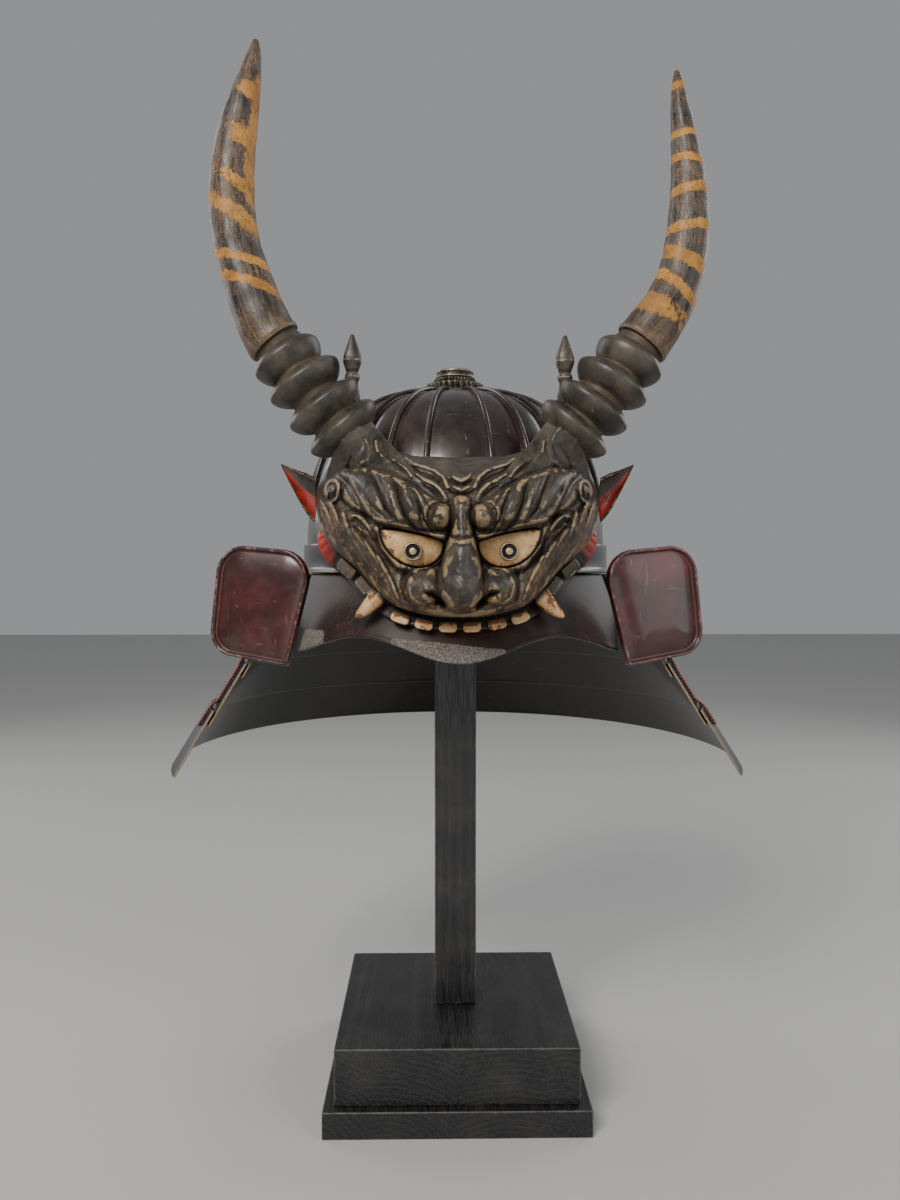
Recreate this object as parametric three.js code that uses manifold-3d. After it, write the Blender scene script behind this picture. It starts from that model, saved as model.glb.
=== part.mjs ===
// A samurai helmet (kabuto) with a carved, horned demon crest, standing on a square timber display stand.
// Millimetres, +Z up. The origin is the middle of the stand's underside, and the helmet faces -Y.
import * as THREE from "three";
import { mergeVertices } from "three/addons/utils/BufferGeometryUtils.js";
import Module from "manifold-3d";

const wasm = await Module();
wasm.setup();

// ---------------------------------------------------------------- driving sizes
const GAP = 0.3; // clearance between pieces that touch
const SIDES = { right: 1, left: -1 };

const STAND = { slab: 196, slabHeight: 20, block: 180, blockHeight: 42, post: 33 };
const REST = { radius: 46, bottom: 500 };

// The bowl is a tall super-ellipse in section and an ellipse in plan.
const BOWL = { rim: 408, width: 119, depth: 130, height: 143, power: 2.85, wall: 1.8, hole: 10 };
// Twenty-four plates, the front one wider, with a rib over each seam.
const PLATES = { count: 24, frontHalfAngle: 11.6 };
const RIB = { height: 3.2, halfWidth: 1.8, fadeRadius: 27 };
const HIP = { gap: 0.6, height: 22, wall: 1.6, flange: 4 };

const CROWN = [
  // piece, bottom, top, radius at the bottom, radius at the top, lobes, depth of the lobes
  { name: "crown_plate", bottom: 551.7, top: 553.2, foot: 25, head: 24, lobes: 0, depth: 0 },
  { name: "crown_petals", bottom: 553.5, top: 560, foot: 22.4, head: 23.4, lobes: 14, depth: 1.4 },
  { name: "crown_beads", bottom: 560.3, top: 564.5, foot: 17.6, head: 17, lobes: 14, depth: 0.9 },
  { name: "crown_collar", bottom: 564.8, top: 571, foot: 15.6, head: 14.4, lobes: 0, depth: 0 },
];

// The peak hangs from the front of the rim. Its lower edge is an ellipse in plan with a waved outline.
const PEAK = { top: 407.5, topWidth: 122, topDepth: 132.5, wall: 2.4, reach: 61.3, bulge: 3 };
const PEAK_EDGE = { width: 130, depth: 135, back: -30, level: 357, wave: 8, period: 131 };

// The neck guard flares from the rim to its lowest edge. Four lames overlap, each outside the one above.
const GUARD = {
  top: 407.5,
  drop: 138.5,
  topWidth: 121,
  topDepth: 132,
  spreadWidth: 91,
  spreadDepth: 98,
  forward: 40,
  frontTop: 56,
  frontReach: 74,
  wall: 1.8,
  lean: 2,
};
const LAMES = { count: 4, step: 0.232, share: 0.304 };
const LACING = { width: 13, thickness: 2, stations: [0.09, 0.28, 0.5, 0.72, 0.965] };

// Turn-backs: outline corners in the plate's own plane, measured outward and up from its inner foot.
const TURNBACK = { thickness: 2, rim: 3.2, rimHeight: 3, dome: 3, yaw: 18, foot: [121, -101.5, 343] };
const TURNBACK_CORNERS = [
  { out: -2, up: -1, radius: 3 },
  { out: 60, up: 8, radius: 18 },
  { out: 51, up: 86, radius: 21 },
  { out: -24, up: 79, radius: 21 },
];

// The carved mask: its outline round the face, measured from the face's centre, right half from chin to brow.
const FACE = { centre: 435, rim: 5, depth: 40, power: 2.5, wall: 14 };
const FACE_SEAT = { bowl: 12.5, peak: 7.5 }; // how far the mask's edge stands off the bowl and the peak
const FACE_OUTLINE = [
  { x: 0, up: -56 },
  { x: 14, up: -55.5 },
  { x: 28, up: -53 },
  { x: 41, up: -49 },
  { x: 50, up: -43.5 },
  { x: 58, up: -36 },
  { x: 67, up: -26.5 },
  { x: 78, up: -17 },
  { x: 89, up: -8 },
  { x: 96, up: 2 },
  { x: 100, up: 15 },
  { x: 101, up: 27 },
  { x: 97, up: 39 },
  { x: 91, up: 50 },
  { x: 85, up: 61 },
  { x: 76, up: 73 },
  { x: 65, up: 79 },
  { x: 57, up: 72 },
  { x: 50, up: 62 },
  { x: 42, up: 55 },
  { x: 30, up: 51 },
  { x: 15, up: 50 },
  { x: 0, up: 49 },
];
// Round forms raised on the face: centre, half-width, half-height and height.
const FACE_BUMPS = [
  { x: 0, z: 398, wide: 15, tall: 14, high: 27 },
  { x: 0, z: 411, wide: 11, tall: 20, high: 19 },
  { x: 21, z: 399, wide: 13, tall: 12, high: 16 },
  { x: 13.3, z: 442.5, wide: 9, tall: 9, high: 14 },
  { x: 87, z: 461.8, wide: 10, tall: 10, high: 7 },
  { x: 58, z: 414, wide: 22, tall: 16, high: 4 },
];
// The brow: a heavy ridge from the knob beside the nose to the curl above the ear.
const BROW = [
  { x: 17, z: 443, half: 9, high: 8 },
  { x: 31, z: 448, half: 13, high: 11 },
  { x: 46, z: 454, half: 16, high: 12 },
  { x: 61, z: 462, half: 15, high: 10 },
  { x: 78, z: 467, half: 9, high: 6 },
];
const SOCKET = { x: 31, z: 423, wide: 26, tall: 16, deep: 5 };
const HORN_FOOT = { x: 52, z: 474, radius: 24, y: -122 };

const EYE = { inner: 10, outer: 51, middle: 430.5, slope: 0.2, rise: 2.5, fall: 19, back: -160, front: -176, dome: 4 };
const PUPIL = { x: 30, z: 421, radius: 5.9, height: 2.6 };
// The gum is a strip behind the lower edge of the mask, and the teeth stand in front of it.
// Places along the mouth are measured from the chin, and reaches below the mask's edge.
const GUM = { end: 120, chin: 8, corner: 12, taper: 26, behind: 3, back: 1.6, front: 4.6 };
const TEETH = { count: 6, spacing: 15, width: 10, near: 3.5, web: 6, far: 9.5, thickness: 4.5 };
const MOLARS = [
  { middle: 68, width: 13, near: 1.5, far: 8 },
  { middle: 86, width: 15, near: 1.5, far: 9.5 },
];
const FANG = { x: 53, up: -42, radius: 6.6, length: 21, lean: [0.72, -0.69], stand: 14 };
const CREST_MOUNT = { halfWidth: 18, low: 440, high: 468, clearBack: 1, clearFront: 1.5 };
const EAR = { x: 101.8, z: 460, y: -97, height: 32, length: 24, lift: 25, cup: 7, wall: 3 };

// Ringed bases of the horns: places along the axis, and the radius of each crest.
const HORN_AXIS = [
  { x: 66, z: 490.5 },
  { x: 79.5, z: 507 },
  { x: 92.3, z: 522 },
  { x: 105, z: 538.5 },
  { x: 116.5, z: 553.5 },
  { x: 124, z: 563.3 },
];
const HORN_RINGS = { crest: [27.5, 27, 26.5, 24.5], core: 18, foot: 20, neck: 16.5, sag: 1.5 };
const HORN_Y = -122;
// The horns are carved by hand and differ: a row for each section from foot to tip.
const HORN_SECTIONS = {
  left: [
    { x: 124.4, z: 563.8, radius: 20, y: 0 },
    { x: 127.4, z: 567.7, radius: 19, y: 0 },
    { x: 134, z: 581, radius: 18, y: 0 },
    { x: 142, z: 603, radius: 16.8, y: 0 },
    { x: 149.5, z: 627, radius: 15.8, y: 1 },
    { x: 153.5, z: 652, radius: 15.5, y: 2 },
    { x: 154, z: 672, radius: 15.2, y: 3 },
    { x: 152.8, z: 691, radius: 14.4, y: 4 },
    { x: 150, z: 710, radius: 13, y: 5 },
    { x: 146, z: 730, radius: 10.6, y: 6 },
    { x: 142, z: 747, radius: 7.6, y: 6 },
    { x: 139, z: 762, radius: 4.4, y: 6 },
    { x: 138, z: 770, radius: 1.8, y: 6 },
  ],
  right: [
    { x: 124.4, z: 563.8, radius: 20, y: 0 },
    { x: 127.4, z: 567.7, radius: 19, y: 0 },
    { x: 132.5, z: 575, radius: 18.4, y: 0 },
    { x: 141.5, z: 588, radius: 17.2, y: 0 },
    { x: 150.5, z: 608, radius: 15.6, y: 1 },
    { x: 155.5, z: 631, radius: 14.8, y: 2 },
    { x: 157.5, z: 656, radius: 13.5, y: 3 },
    { x: 157, z: 679, radius: 11.6, y: 4 },
    { x: 154.5, z: 704, radius: 9, y: 5 },
    { x: 151.5, z: 729, radius: 6, y: 6 },
    { x: 150, z: 744, radius: 3.6, y: 6 },
    { x: 149.5, z: 751.5, radius: 1.6, y: 6 },
  ],
};
// The bud that stands on the ringed base: height above its root, radius.
const BUD = { x: 72.5, z: 524, profile: [[0, 5], [8, 5], [16, 3.6], [21, 4.6], [28, 7], [37, 4.6], [47, 1]] };

// ---------------------------------------------------------------- materials
const finish = (color, roughness, metalness = 0) => new THREE.MeshStandardMaterial({ color, roughness, metalness });
const FINISH = {
  standWood: finish(0x1b1a1c, 0.5),
  bowlLacquer: finish(0x2a1c1b, 0.3),
  brass: finish(0x8d8468, 0.5, 0.8),
  redLacquer: finish(0x4a1f21, 0.3),
  blackLacquer: finish(0x14110f, 0.3),
  silk: finish(0x8c4a4a, 0.9),
  carvedWood: finish(0x3c372f, 0.55),
  vermilion: finish(0xa82a1c, 0.5),
  bone: finish(0xd9b98a, 0.6),
  iron: finish(0x3a3a3c, 0.4, 0.7),
};

// ---------------------------------------------------------------- helpers
const rad = THREE.MathUtils.degToRad;
const vec = (x, y, z) => new THREE.Vector3(x, y, z);
const mix = (a, b, t) => a + (b - a) * t;

// A closed body through rings of points with the same count. Open ends are closed with a fan; turns faces out.
function skin(rings, { joined = false } = {}) {
  const count = rings[0].length;
  const points = rings.flat();
  const faces = [];
  const last = joined ? rings.length : rings.length - 1;
  for (let i = 0; i < last; i++) {
    for (let j = 0; j < count; j++) {
      const a = i * count + j;
      const b = i * count + ((j + 1) % count);
      const c = ((i + 1) % rings.length) * count + ((j + 1) % count);
      const d = ((i + 1) % rings.length) * count + j;
      faces.push(a, b, c, a, c, d);
    }
  }
  if (!joined) {
    for (const [i, turned] of [[0, true], [rings.length - 1, false]]) {
      const middle = rings[i].reduce((sum, p) => sum.add(p), vec(0, 0, 0)).divideScalar(count);
      points.push(middle);
      for (let j = 0; j < count; j++) {
        const a = i * count + j;
        const b = i * count + ((j + 1) % count);
        faces.push(...(turned ? [b, a, points.length - 1] : [a, b, points.length - 1]));
      }
    }
  }
  return body(points, faces);
}

// Indexed geometry whose faces point out, with doubled points merged.
function body(points, faces) {
  let volume = 0;
  for (let i = 0; i < faces.length; i += 3) {
    const [a, b, c] = [points[faces[i]], points[faces[i + 1]], points[faces[i + 2]]];
    volume += a.dot(b.clone().cross(c));
  }
  if (volume < 0) {
    for (let i = 0; i < faces.length; i += 3) [faces[i + 1], faces[i + 2]] = [faces[i + 2], faces[i + 1]];
  }
  const geometry = new THREE.BufferGeometry().setFromPoints(points).setIndex(faces);
  return mergeVertices(geometry, 1e-3);
}

function solidOf(geometry) {
  const bare = new THREE.BufferGeometry().setAttribute("position", geometry.getAttribute("position"));
  bare.setIndex(geometry.index);
  const merged = mergeVertices(bare, 1e-3);
  return new wasm.Manifold(
    new wasm.Mesh({
      numProp: 3,
      vertProperties: new Float32Array(merged.attributes.position.array),
      triVerts: new Uint32Array(merged.index.array),
    }),
  );
}

function geometryOf(solid) {
  const { numProp, numVert, vertProperties, triVerts } = solid.getMesh();
  const positions = new Float32Array(numVert * 3);
  for (let i = 0; i < numVert; i++) positions.set(vertProperties.subarray(i * numProp, i * numProp + 3), i * 3);
  return new THREE.BufferGeometry()
    .setAttribute("position", new THREE.BufferAttribute(positions, 3))
    .setIndex(new THREE.BufferAttribute(new Uint32Array(triVerts), 1));
}

const group = new THREE.Group();
function add(name, geometry, material) {
  const mesh = new THREE.Mesh(geometry, material);
  mesh.name = name;
  group.add(mesh);
  return mesh;
}

// A round tube of the given sections: each {at, radius}, turned to follow the line of centres.
function horn(sections, sides) {
  return sections.map(({ at, radius }, i) => {
    const before = sections[Math.max(0, i - 1)].at;
    const after = sections[Math.min(sections.length - 1, i + 1)].at;
    const along = after.clone().sub(before).normalize();
    const across = vec(along.z, 0, -along.x).normalize();
    const forward = along.clone().cross(across);
    return Array.from({ length: sides }, (_, j) => {
      const turn = (2 * Math.PI * j) / sides;
      return at
        .clone()
        .addScaledVector(across, radius * Math.cos(turn))
        .addScaledVector(forward, radius * Math.sin(turn));
    });
  });
}

// ---------------------------------------------------------------- stand
function buildStand() {
  const { slab, slabHeight, block, blockHeight, post } = STAND;
  add("base_slab", new THREE.BoxGeometry(slab, slab, slabHeight), FINISH.standWood).position.z = slabHeight / 2;
  const blockFoot = slabHeight + GAP;
  add("base_block", new THREE.BoxGeometry(block, block, blockHeight - GAP), FINISH.standWood).position.z =
    blockFoot + (blockHeight - GAP) / 2;
  const postFoot = slabHeight + blockHeight + GAP;
  const postHeight = REST.bottom - GAP - postFoot;
  add("post", new THREE.BoxGeometry(post, post, postHeight), FINISH.standWood).position.z = postFoot + postHeight / 2;
}

// ---------------------------------------------------------------- bowl
// A point of the bowl: angle from the front towards +X, rise from 0 at the rim to 1 at the crown.
function bowlPoint(angle, rise, offset) {
  const { width, depth, height, rim, power } = BOWL;
  const ring = Math.cos((rise * Math.PI) / 2) ** (2 / power);
  const lift = Math.sin((rise * Math.PI) / 2) ** (2 / power);
  return vec(
    (width + offset) * ring * Math.sin(angle),
    -(depth + offset) * ring * Math.cos(angle),
    rim + (height + offset) * lift,
  );
}

// The angle of each rib, from the one right of the front plate round to the one left of it.
function ribAngles() {
  const first = rad(PLATES.frontHalfAngle);
  const step = (2 * Math.PI - 2 * first) / (PLATES.count - 1);
  return Array.from({ length: PLATES.count }, (_, i) => first + i * step);
}

// Columns round the bowl: each rib has two feet and a crest, and the front plate also has a middle.
function bowlColumns() {
  const ribs = ribAngles().flatMap((angle) => [-1, 0, 1].map((side) => ({ angle, side })));
  return [...ribs, { angle: 2 * Math.PI, side: 1 }];
}

function buildBowl() {
  const columns = bowlColumns();
  const lowestRib = 1; // the ribs start above the hip band
  const outer = [0, 0.08, 0.16, 0.34, 0.52, 0.68, 0.82, 0.9, 0.95].map((rise, i) => {
    const radius = bowlPoint(0, rise, 0).setZ(0).length();
    const height = i > lowestRib && radius > RIB.fadeRadius ? RIB.height : 0;
    return columns.map(({ angle, side }) =>
      bowlPoint(angle + (side * RIB.halfWidth) / Math.max(radius, 14), rise, side ? 0 : height),
    );
  });
  const top = BOWL.rim + BOWL.height;
  outer.push(columns.map(({ angle }) => vec(6 * Math.sin(angle), -6 * Math.cos(angle), top)));
  const inside = [0, 0.2, 0.4, 0.6, 0.76, 0.88, 0.96].map((rise) => bowlRing(36, rise, -BOWL.wall));
  inside[0].forEach((p) => p.setZ(BOWL.rim - 1));
  const hole = solidOf(new THREE.CylinderGeometry(BOWL.hole, BOWL.hole, 60, 24).rotateX(Math.PI / 2));
  const shell = solidOf(skin(outer)).subtract(solidOf(skin(inside))).subtract(hole.translate([0, 0, top]));
  add("bowl", geometryOf(shell), FINISH.bowlLacquer);
}

// A level ring of the bowl's surface.
function bowlRing(count, rise, offset) {
  return Array.from({ length: count }, (_, i) => bowlPoint((2 * Math.PI * i) / count, rise, offset));
}

// The band round the foot of the bowl, with a flange turned out at its lower edge.
function buildHipBand() {
  const inside = HIP.gap;
  const outside = inside + HIP.wall;
  const section = [
    { offset: inside, z: BOWL.rim },
    { offset: outside + HIP.flange, z: BOWL.rim },
    { offset: outside, z: BOWL.rim + HIP.wall },
    { offset: outside, z: BOWL.rim + HIP.height },
    { offset: inside, z: BOWL.rim + HIP.height },
  ];
  const count = 48;
  const rings = Array.from({ length: count }, (_, i) => {
    const angle = (2 * Math.PI * i) / count;
    return section.map(({ offset, z }) =>
      vec((BOWL.width + offset) * Math.sin(angle), -(BOWL.depth + offset) * Math.cos(angle), z),
    );
  });
  add("hip_band", skin(rings, { joined: true }), FINISH.bowlLacquer);
}

// The block on the post, domed to fit under the crown of the bowl.
function buildRest() {
  const count = 24;
  const foot = Array.from({ length: count }, (_, i) => {
    const angle = (2 * Math.PI * i) / count;
    return vec(REST.radius * Math.sin(angle), -REST.radius * Math.cos(angle), REST.bottom);
  });
  const under = -BOWL.wall - 4 * GAP;
  add("rest_block", skin([foot, ...[0.8, 0.88, 0.95].map((rise) => bowlRing(count, rise, under))]), FINISH.standWood);
}

// Tiers of the crown fitting: rings round the open crown, with a lobed outline where they are fluted.
function buildCrown() {
  for (const { name, bottom, top, foot, head, lobes, depth } of CROWN) {
    const count = lobes ? lobes * 2 : 20;
    const ring = (radius, z, lobed) =>
      Array.from({ length: count }, (_, i) => {
        const angle = (2 * Math.PI * i) / count;
        const reach = radius - (lobed && i % 2 ? depth : 0);
        return vec(reach * Math.sin(angle), -reach * Math.cos(angle), z);
      });
    const rings = [ring(BOWL.hole, bottom), ring(foot, bottom, true), ring(head, top, true), ring(BOWL.hole, top)];
    add(name, skin(rings, { joined: true }), FINISH.brass);
  }
}

// ---------------------------------------------------------------- peak
// A point of the peak: angle from the front towards +X, share of the drop, offset outward.
function peakPoint(turn, drop, offset) {
  const { top, topWidth, topDepth, bulge } = PEAK;
  const [s, c] = [Math.sin(turn), Math.cos(turn)];
  const high = vec(topWidth * s, -topDepth * c, top);
  const low = vec(PEAK_EDGE.width * s, PEAK_EDGE.back - PEAK_EDGE.depth * c, 0);
  low.z = PEAK_EDGE.level - PEAK_EDGE.wave * Math.cos((2 * Math.PI * low.x) / PEAK_EDGE.period);
  return high.lerp(low, drop).add(vec(s, -c, 0).multiplyScalar(bulge * Math.sin(Math.PI * drop) + offset));
}

function buildPeak() {
  const columns = 24;
  const rows = [0, 0.35, 0.7, 1];
  const rings = Array.from({ length: columns + 1 }, (_, i) => {
    const turn = rad(mix(-PEAK.reach, PEAK.reach, i / columns));
    const front = rows.map((drop) => peakPoint(turn, drop, PEAK.wall / 2));
    const back = rows.map((drop) => peakPoint(turn, drop, -PEAK.wall / 2)).reverse();
    return [...front, ...back];
  });
  add("peak", skin(rings), FINISH.bowlLacquer);
}

// ---------------------------------------------------------------- neck guard
// A point of the flared neck guard: share of the sweep from the back, share of the drop, offset outward.
function guardPoint(sweep, drop, offset) {
  const g = GUARD;
  const middle = -g.forward * drop;
  const width = g.topWidth + g.spreadWidth * drop;
  const depth = g.topDepth + g.spreadDepth * drop;
  const front = -(g.frontTop + g.frontReach * drop);
  const turn = sweep * Math.acos((front - middle) / depth);
  const out = vec(Math.sin(turn) / width, Math.cos(turn) / depth, 0).normalize();
  return vec(width * Math.sin(turn), middle + depth * Math.cos(turn), g.top - g.drop * drop).addScaledVector(
    out,
    offset,
  );
}

// How far a lame stands out from the middle surface: its head is outside and its foot inside.
function lameOffset(lame, drop) {
  const share = (drop - lame * LAMES.step) / LAMES.share;
  return mix(GUARD.lean, -GUARD.lean, share);
}

function buildLames() {
  const columns = 24;
  for (let lame = 0; lame < LAMES.count; lame++) {
    const head = lame * LAMES.step;
    const foot = head + LAMES.share;
    const half = GUARD.wall / 2;
    const rings = Array.from({ length: columns + 1 }, (_, i) => {
      const sweep = mix(-1, 1, i / columns);
      return [
        guardPoint(sweep, head, lameOffset(lame, head) - half),
        guardPoint(sweep, head, lameOffset(lame, head) + half),
        guardPoint(sweep, foot, lameOffset(lame, foot) + half),
        guardPoint(sweep, foot, lameOffset(lame, foot) - half),
      ];
    });
    add(`lame_${lame + 1}`, skin(rings), FINISH.blackLacquer);
  }
}

// Columns of silk lacing run down the outside of the lames and step over the head of each one.
function buildLacing() {
  const clear = GUARD.wall / 2 + GAP;
  const path = [{ drop: 0.17, offset: lameOffset(0, 0.17) + clear }];
  for (let lame = 1; lame < LAMES.count; lame++) {
    const head = lame * LAMES.step;
    const over = GUARD.lean + clear;
    path.push({ drop: head - 0.035, offset: lameOffset(lame - 1, head - 0.035) + clear });
    path.push({ drop: head - 0.012, offset: over });
    path.push({ drop: head + 0.01, offset: over });
    if (lame === LAMES.count - 1) path.push({ drop: head + 0.07, offset: lameOffset(lame, head + 0.07) + clear + 0.2 });
  }
  const stations = [...LACING.stations.map((s) => -s).reverse(), ...LACING.stations];
  stations.forEach((station, n) => {
    const rings = path.map(({ drop, offset }) => {
      const middle = guardPoint(station, drop, offset);
      const beside = guardPoint(station + 0.01, drop, offset).sub(middle).normalize();
      const outer = guardPoint(station, drop, offset + 1).sub(middle).normalize();
      const corner = (side, lift) =>
        middle.clone().addScaledVector(beside, (side * LACING.width) / 2).addScaledVector(outer, lift);
      const low = 0.35;
      return [corner(-1, low), corner(1, low), corner(1, LACING.thickness), corner(-1, LACING.thickness)];
    });
    add(`lacing_${n + 1}`, skin(rings), FINISH.silk);
  });
}

// ---------------------------------------------------------------- turn-backs
// The outline of a turn-back: straight sides between round corners, drawn inside by the given inset.
function turnbackOutline(inset) {
  const corners = TURNBACK_CORNERS.map(({ out, up }) => new THREE.Vector2(out, up));
  const points = [];
  corners.forEach((corner, i) => {
    const before = corners[(i + 3) % 4].clone().sub(corner).normalize();
    const after = corners[(i + 1) % 4].clone().sub(corner).normalize();
    const half = Math.acos(before.dot(after)) / 2;
    const radius = TURNBACK_CORNERS[i].radius;
    const inward = before.clone().add(after).normalize();
    const centre = corner.clone().addScaledVector(inward, radius / Math.sin(half));
    const start = Math.atan2(-before.x, before.y);
    const end = Math.atan2(after.x, -after.y);
    const sweep = THREE.MathUtils.euclideanModulo(end - start, 2 * Math.PI);
    const pieces = 5;
    for (let k = 0; k <= pieces; k++) {
      const turn = start - Math.PI + (sweep * k) / pieces;
      const reach = Math.max(radius - inset, 0.4);
      const shift = inset > radius - 0.4 ? (inset - radius + 0.4) / Math.sin(half) : 0;
      points.push(
        centre
          .clone()
          .addScaledVector(inward, shift)
          .add(new THREE.Vector2(Math.cos(turn), Math.sin(turn)).multiplyScalar(reach)),
      );
    }
  });
  return points;
}

function buildTurnbacks() {
  const { thickness, rim, rimHeight, dome, yaw, foot } = TURNBACK;
  const rows = [
    { inset: 0, high: 0 },
    { inset: 0.3, high: thickness + rimHeight },
    { inset: rim - 0.8, high: thickness + rimHeight },
    { inset: rim, high: thickness },
    { inset: 12, high: thickness + dome * 0.8 },
    { inset: 26, high: thickness + dome },
  ];
  for (const [side, sign] of Object.entries(SIDES)) {
    const outward = vec(Math.cos(rad(yaw)) * sign, Math.sin(rad(yaw)), 0);
    const forward = vec(Math.sin(rad(yaw)) * sign, -Math.cos(rad(yaw)), 0);
    const start = vec(foot[0] * sign, foot[1], foot[2]);
    const rings = rows.map(({ inset, high }) =>
      turnbackOutline(inset).map((p) =>
        start
          .clone()
          .addScaledVector(outward, p.x)
          .addScaledVector(forward, high)
          .add(vec(0, 0, p.y)),
      ),
    );
    add(`turnback_${side}`, skin(rings), FINISH.redLacquer);
  }
}

// ---------------------------------------------------------------- carved mask
// How far forward the bowl, or below it the peak, stands at a place seen from the front.
function helmetFront(x, z, overBowl, overPeak) {
  const { rim, height, power } = BOWL;
  const lift = THREE.MathUtils.clamp((z - rim) / height, 0, 0.98);
  const ring = (1 - lift ** power) ** (1 / power);
  const side = Math.min(Math.abs(x) / ((BOWL.width + overBowl) * ring), 0.97);
  const bowl = (BOWL.depth + overBowl) * ring * Math.sqrt(1 - side * side);
  if (z >= PEAK.top) return bowl;
  // the turn and drop of the peak's surface at this place, found in a few steps
  const offset = PEAK.wall / 2 + overPeak;
  let [turn, drop] = [0, 0.5];
  for (let i = 0; i < 5; i++) {
    const reach = mix(PEAK.topWidth, PEAK_EDGE.width, drop) + PEAK.bulge * Math.sin(Math.PI * drop) + offset;
    turn = Math.asin(Math.min(Math.abs(x) / reach, 0.88));
    drop = Math.min((PEAK.top - z) / (PEAK.top - peakPoint(turn, 1, 0).z), 1);
  }
  return Math.max(bowl, -peakPoint(turn, drop, offset).y);
}

// The surface that the mask's edge follows.
const seat = (x, z) => helmetFront(x, z, FACE_SEAT.bowl, FACE_SEAT.peak);

// A rounded bump: 1 at its middle and 0 at its edge.
function dome(x, z, wide, tall) {
  const far = (x / wide) ** 2 + (z / tall) ** 2;
  return far < 1 ? (1 - far) ** 0.7 : 0;
}

// Height of the thickest brow section near a place.
function browHeight(x, z) {
  let high = 0;
  for (let i = 0; i + 1 < BROW.length; i++) {
    for (let k = 0; k <= 4; k++) {
      const [a, b] = [BROW[i], BROW[i + 1]];
      const half = mix(a.half, b.half, k / 4);
      const bump = dome(x - mix(a.x, b.x, k / 4), z - mix(a.z, b.z, k / 4), half, half);
      high = Math.max(high, mix(a.high, b.high, k / 4) * bump);
    }
  }
  return high;
}

// What the carving adds to the plain curve of the face.
function carving(x, z) {
  const ax = Math.abs(x);
  let high = browHeight(ax, z);
  for (const bump of FACE_BUMPS) {
    high = Math.max(high, bump.high * dome(ax - bump.x, z - bump.z, bump.wide, bump.tall));
  }
  return high - SOCKET.deep * dome(ax - SOCKET.x, z - SOCKET.z, SOCKET.wide, SOCKET.tall);
}

// The foot of the horn swells out of the corner of the brow along the horn's axis.
function hornFoot(x, z) {
  const { radius, y } = HORN_FOOT;
  const [foot, end] = [HORN_FOOT, HORN_AXIS[1]];
  const along = new THREE.Vector2(end.x - foot.x, end.z - foot.z);
  const way = new THREE.Vector2(Math.abs(x) - foot.x, z - foot.z);
  const t = THREE.MathUtils.clamp(way.dot(along) / along.lengthSq(), 0, 1);
  const off = way.distanceTo(along.multiplyScalar(t));
  if (off >= radius) return 0;
  return Math.sqrt(radius ** 2 - off * off) * (0.4 + 0.6 * t) - y;
}

// The mask's outline from chin to brow, relative to the face's centre.
const FACE_CURVE = new THREE.CatmullRomCurve3(
  FACE_OUTLINE.map(({ x, up }) => vec(x, 0, up)),
  false,
  "centripetal",
);

function faceOutline(count) {
  const right = FACE_CURVE.getSpacedPoints(count / 2);
  const left = right.slice(1, -1).reverse().map((p) => vec(-p.x, 0, p.z));
  return [...right, ...left];
}

// A point of the face: a place on the outline, and the share of the way out to it.
function facePoint(edge, share, surface) {
  const x = edge.x * share;
  const z = FACE.centre + edge.z * share;
  const plain = mix(seat(x, z), seat(edge.x, FACE.centre + edge.z), share ** 6);
  const swell = Math.sqrt(Math.max(0, 1 - share ** FACE.power));
  if (surface === "back") return vec(x, -(plain + (FACE.depth - FACE.wall) * swell), z);
  const raised = plain + FACE.rim + FACE.depth * swell + carving(x, z) * Math.min(1, 3 * (1 - share));
  return vec(x, -Math.max(raised, share < 0.97 ? hornFoot(x, z) : 0), z);
}

function maskSolid() {
  const outline = faceOutline(60);
  const shares = [0.08, 0.18, 0.27, 0.36, 0.45, 0.55, 0.65, 0.75, 0.85, 0.93, 1];
  const front = shares.map((share) => outline.map((edge) => facePoint(edge, share, "front")));
  const back = [1, 0.75, 0.4].map((share) => outline.map((edge) => facePoint(edge, share, "back")));
  return solidOf(skin([...front, ...back]));
}

// The outline of an eye seen from the front: nearly straight above and deeply curved below.
function eyeOutline(sign, grow) {
  const { inner, outer, middle, slope, rise, fall } = EYE;
  const half = (outer - inner) / 2;
  const count = 18;
  return Array.from({ length: count }, (_, i) => {
    const [c, s] = [Math.cos((2 * Math.PI * i) / count), Math.sin((2 * Math.PI * i) / count)];
    const high = s > 0 ? (rise + grow) * s : (fall + grow) * s;
    return { x: sign * ((inner + outer) / 2 + (half + grow) * c), z: middle + slope * half * c + high };
  });
}

function eyeSolid(sign) {
  const centre = { x: (sign * (EYE.inner + EYE.outer)) / 2, z: EYE.middle - EYE.fall * 0.4 };
  const row = (scale, y) =>
    eyeOutline(sign, 0).map((p) => vec(mix(centre.x, p.x, scale), y, mix(centre.z, p.z, scale)));
  return skin([
    row(1, EYE.back),
    row(1, EYE.front),
    row(0.75, EYE.front - EYE.dome * 0.65),
    row(0.35, EYE.front - EYE.dome),
  ]);
}

function eyeCut(sign) {
  const row = (y) => eyeOutline(sign, GAP + 0.1).map((p) => vec(p.x, y, p.z));
  return solidOf(skin([row(EYE.back + GAP), row(EYE.front - 60)]));
}

// A disc facing forward.
function stud(x, z, radius, back, front, sides) {
  const ring = (reach, y) =>
    Array.from({ length: sides }, (_, i) => {
      const turn = (2 * Math.PI * i) / sides;
      return vec(x + reach * Math.cos(turn), y, z + reach * Math.sin(turn));
    });
  return skin([ring(radius, back), ring(radius, front + 0.8), ring(radius * 0.8, front), ring(radius * 0.4, front + 0.5)]);
}

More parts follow.
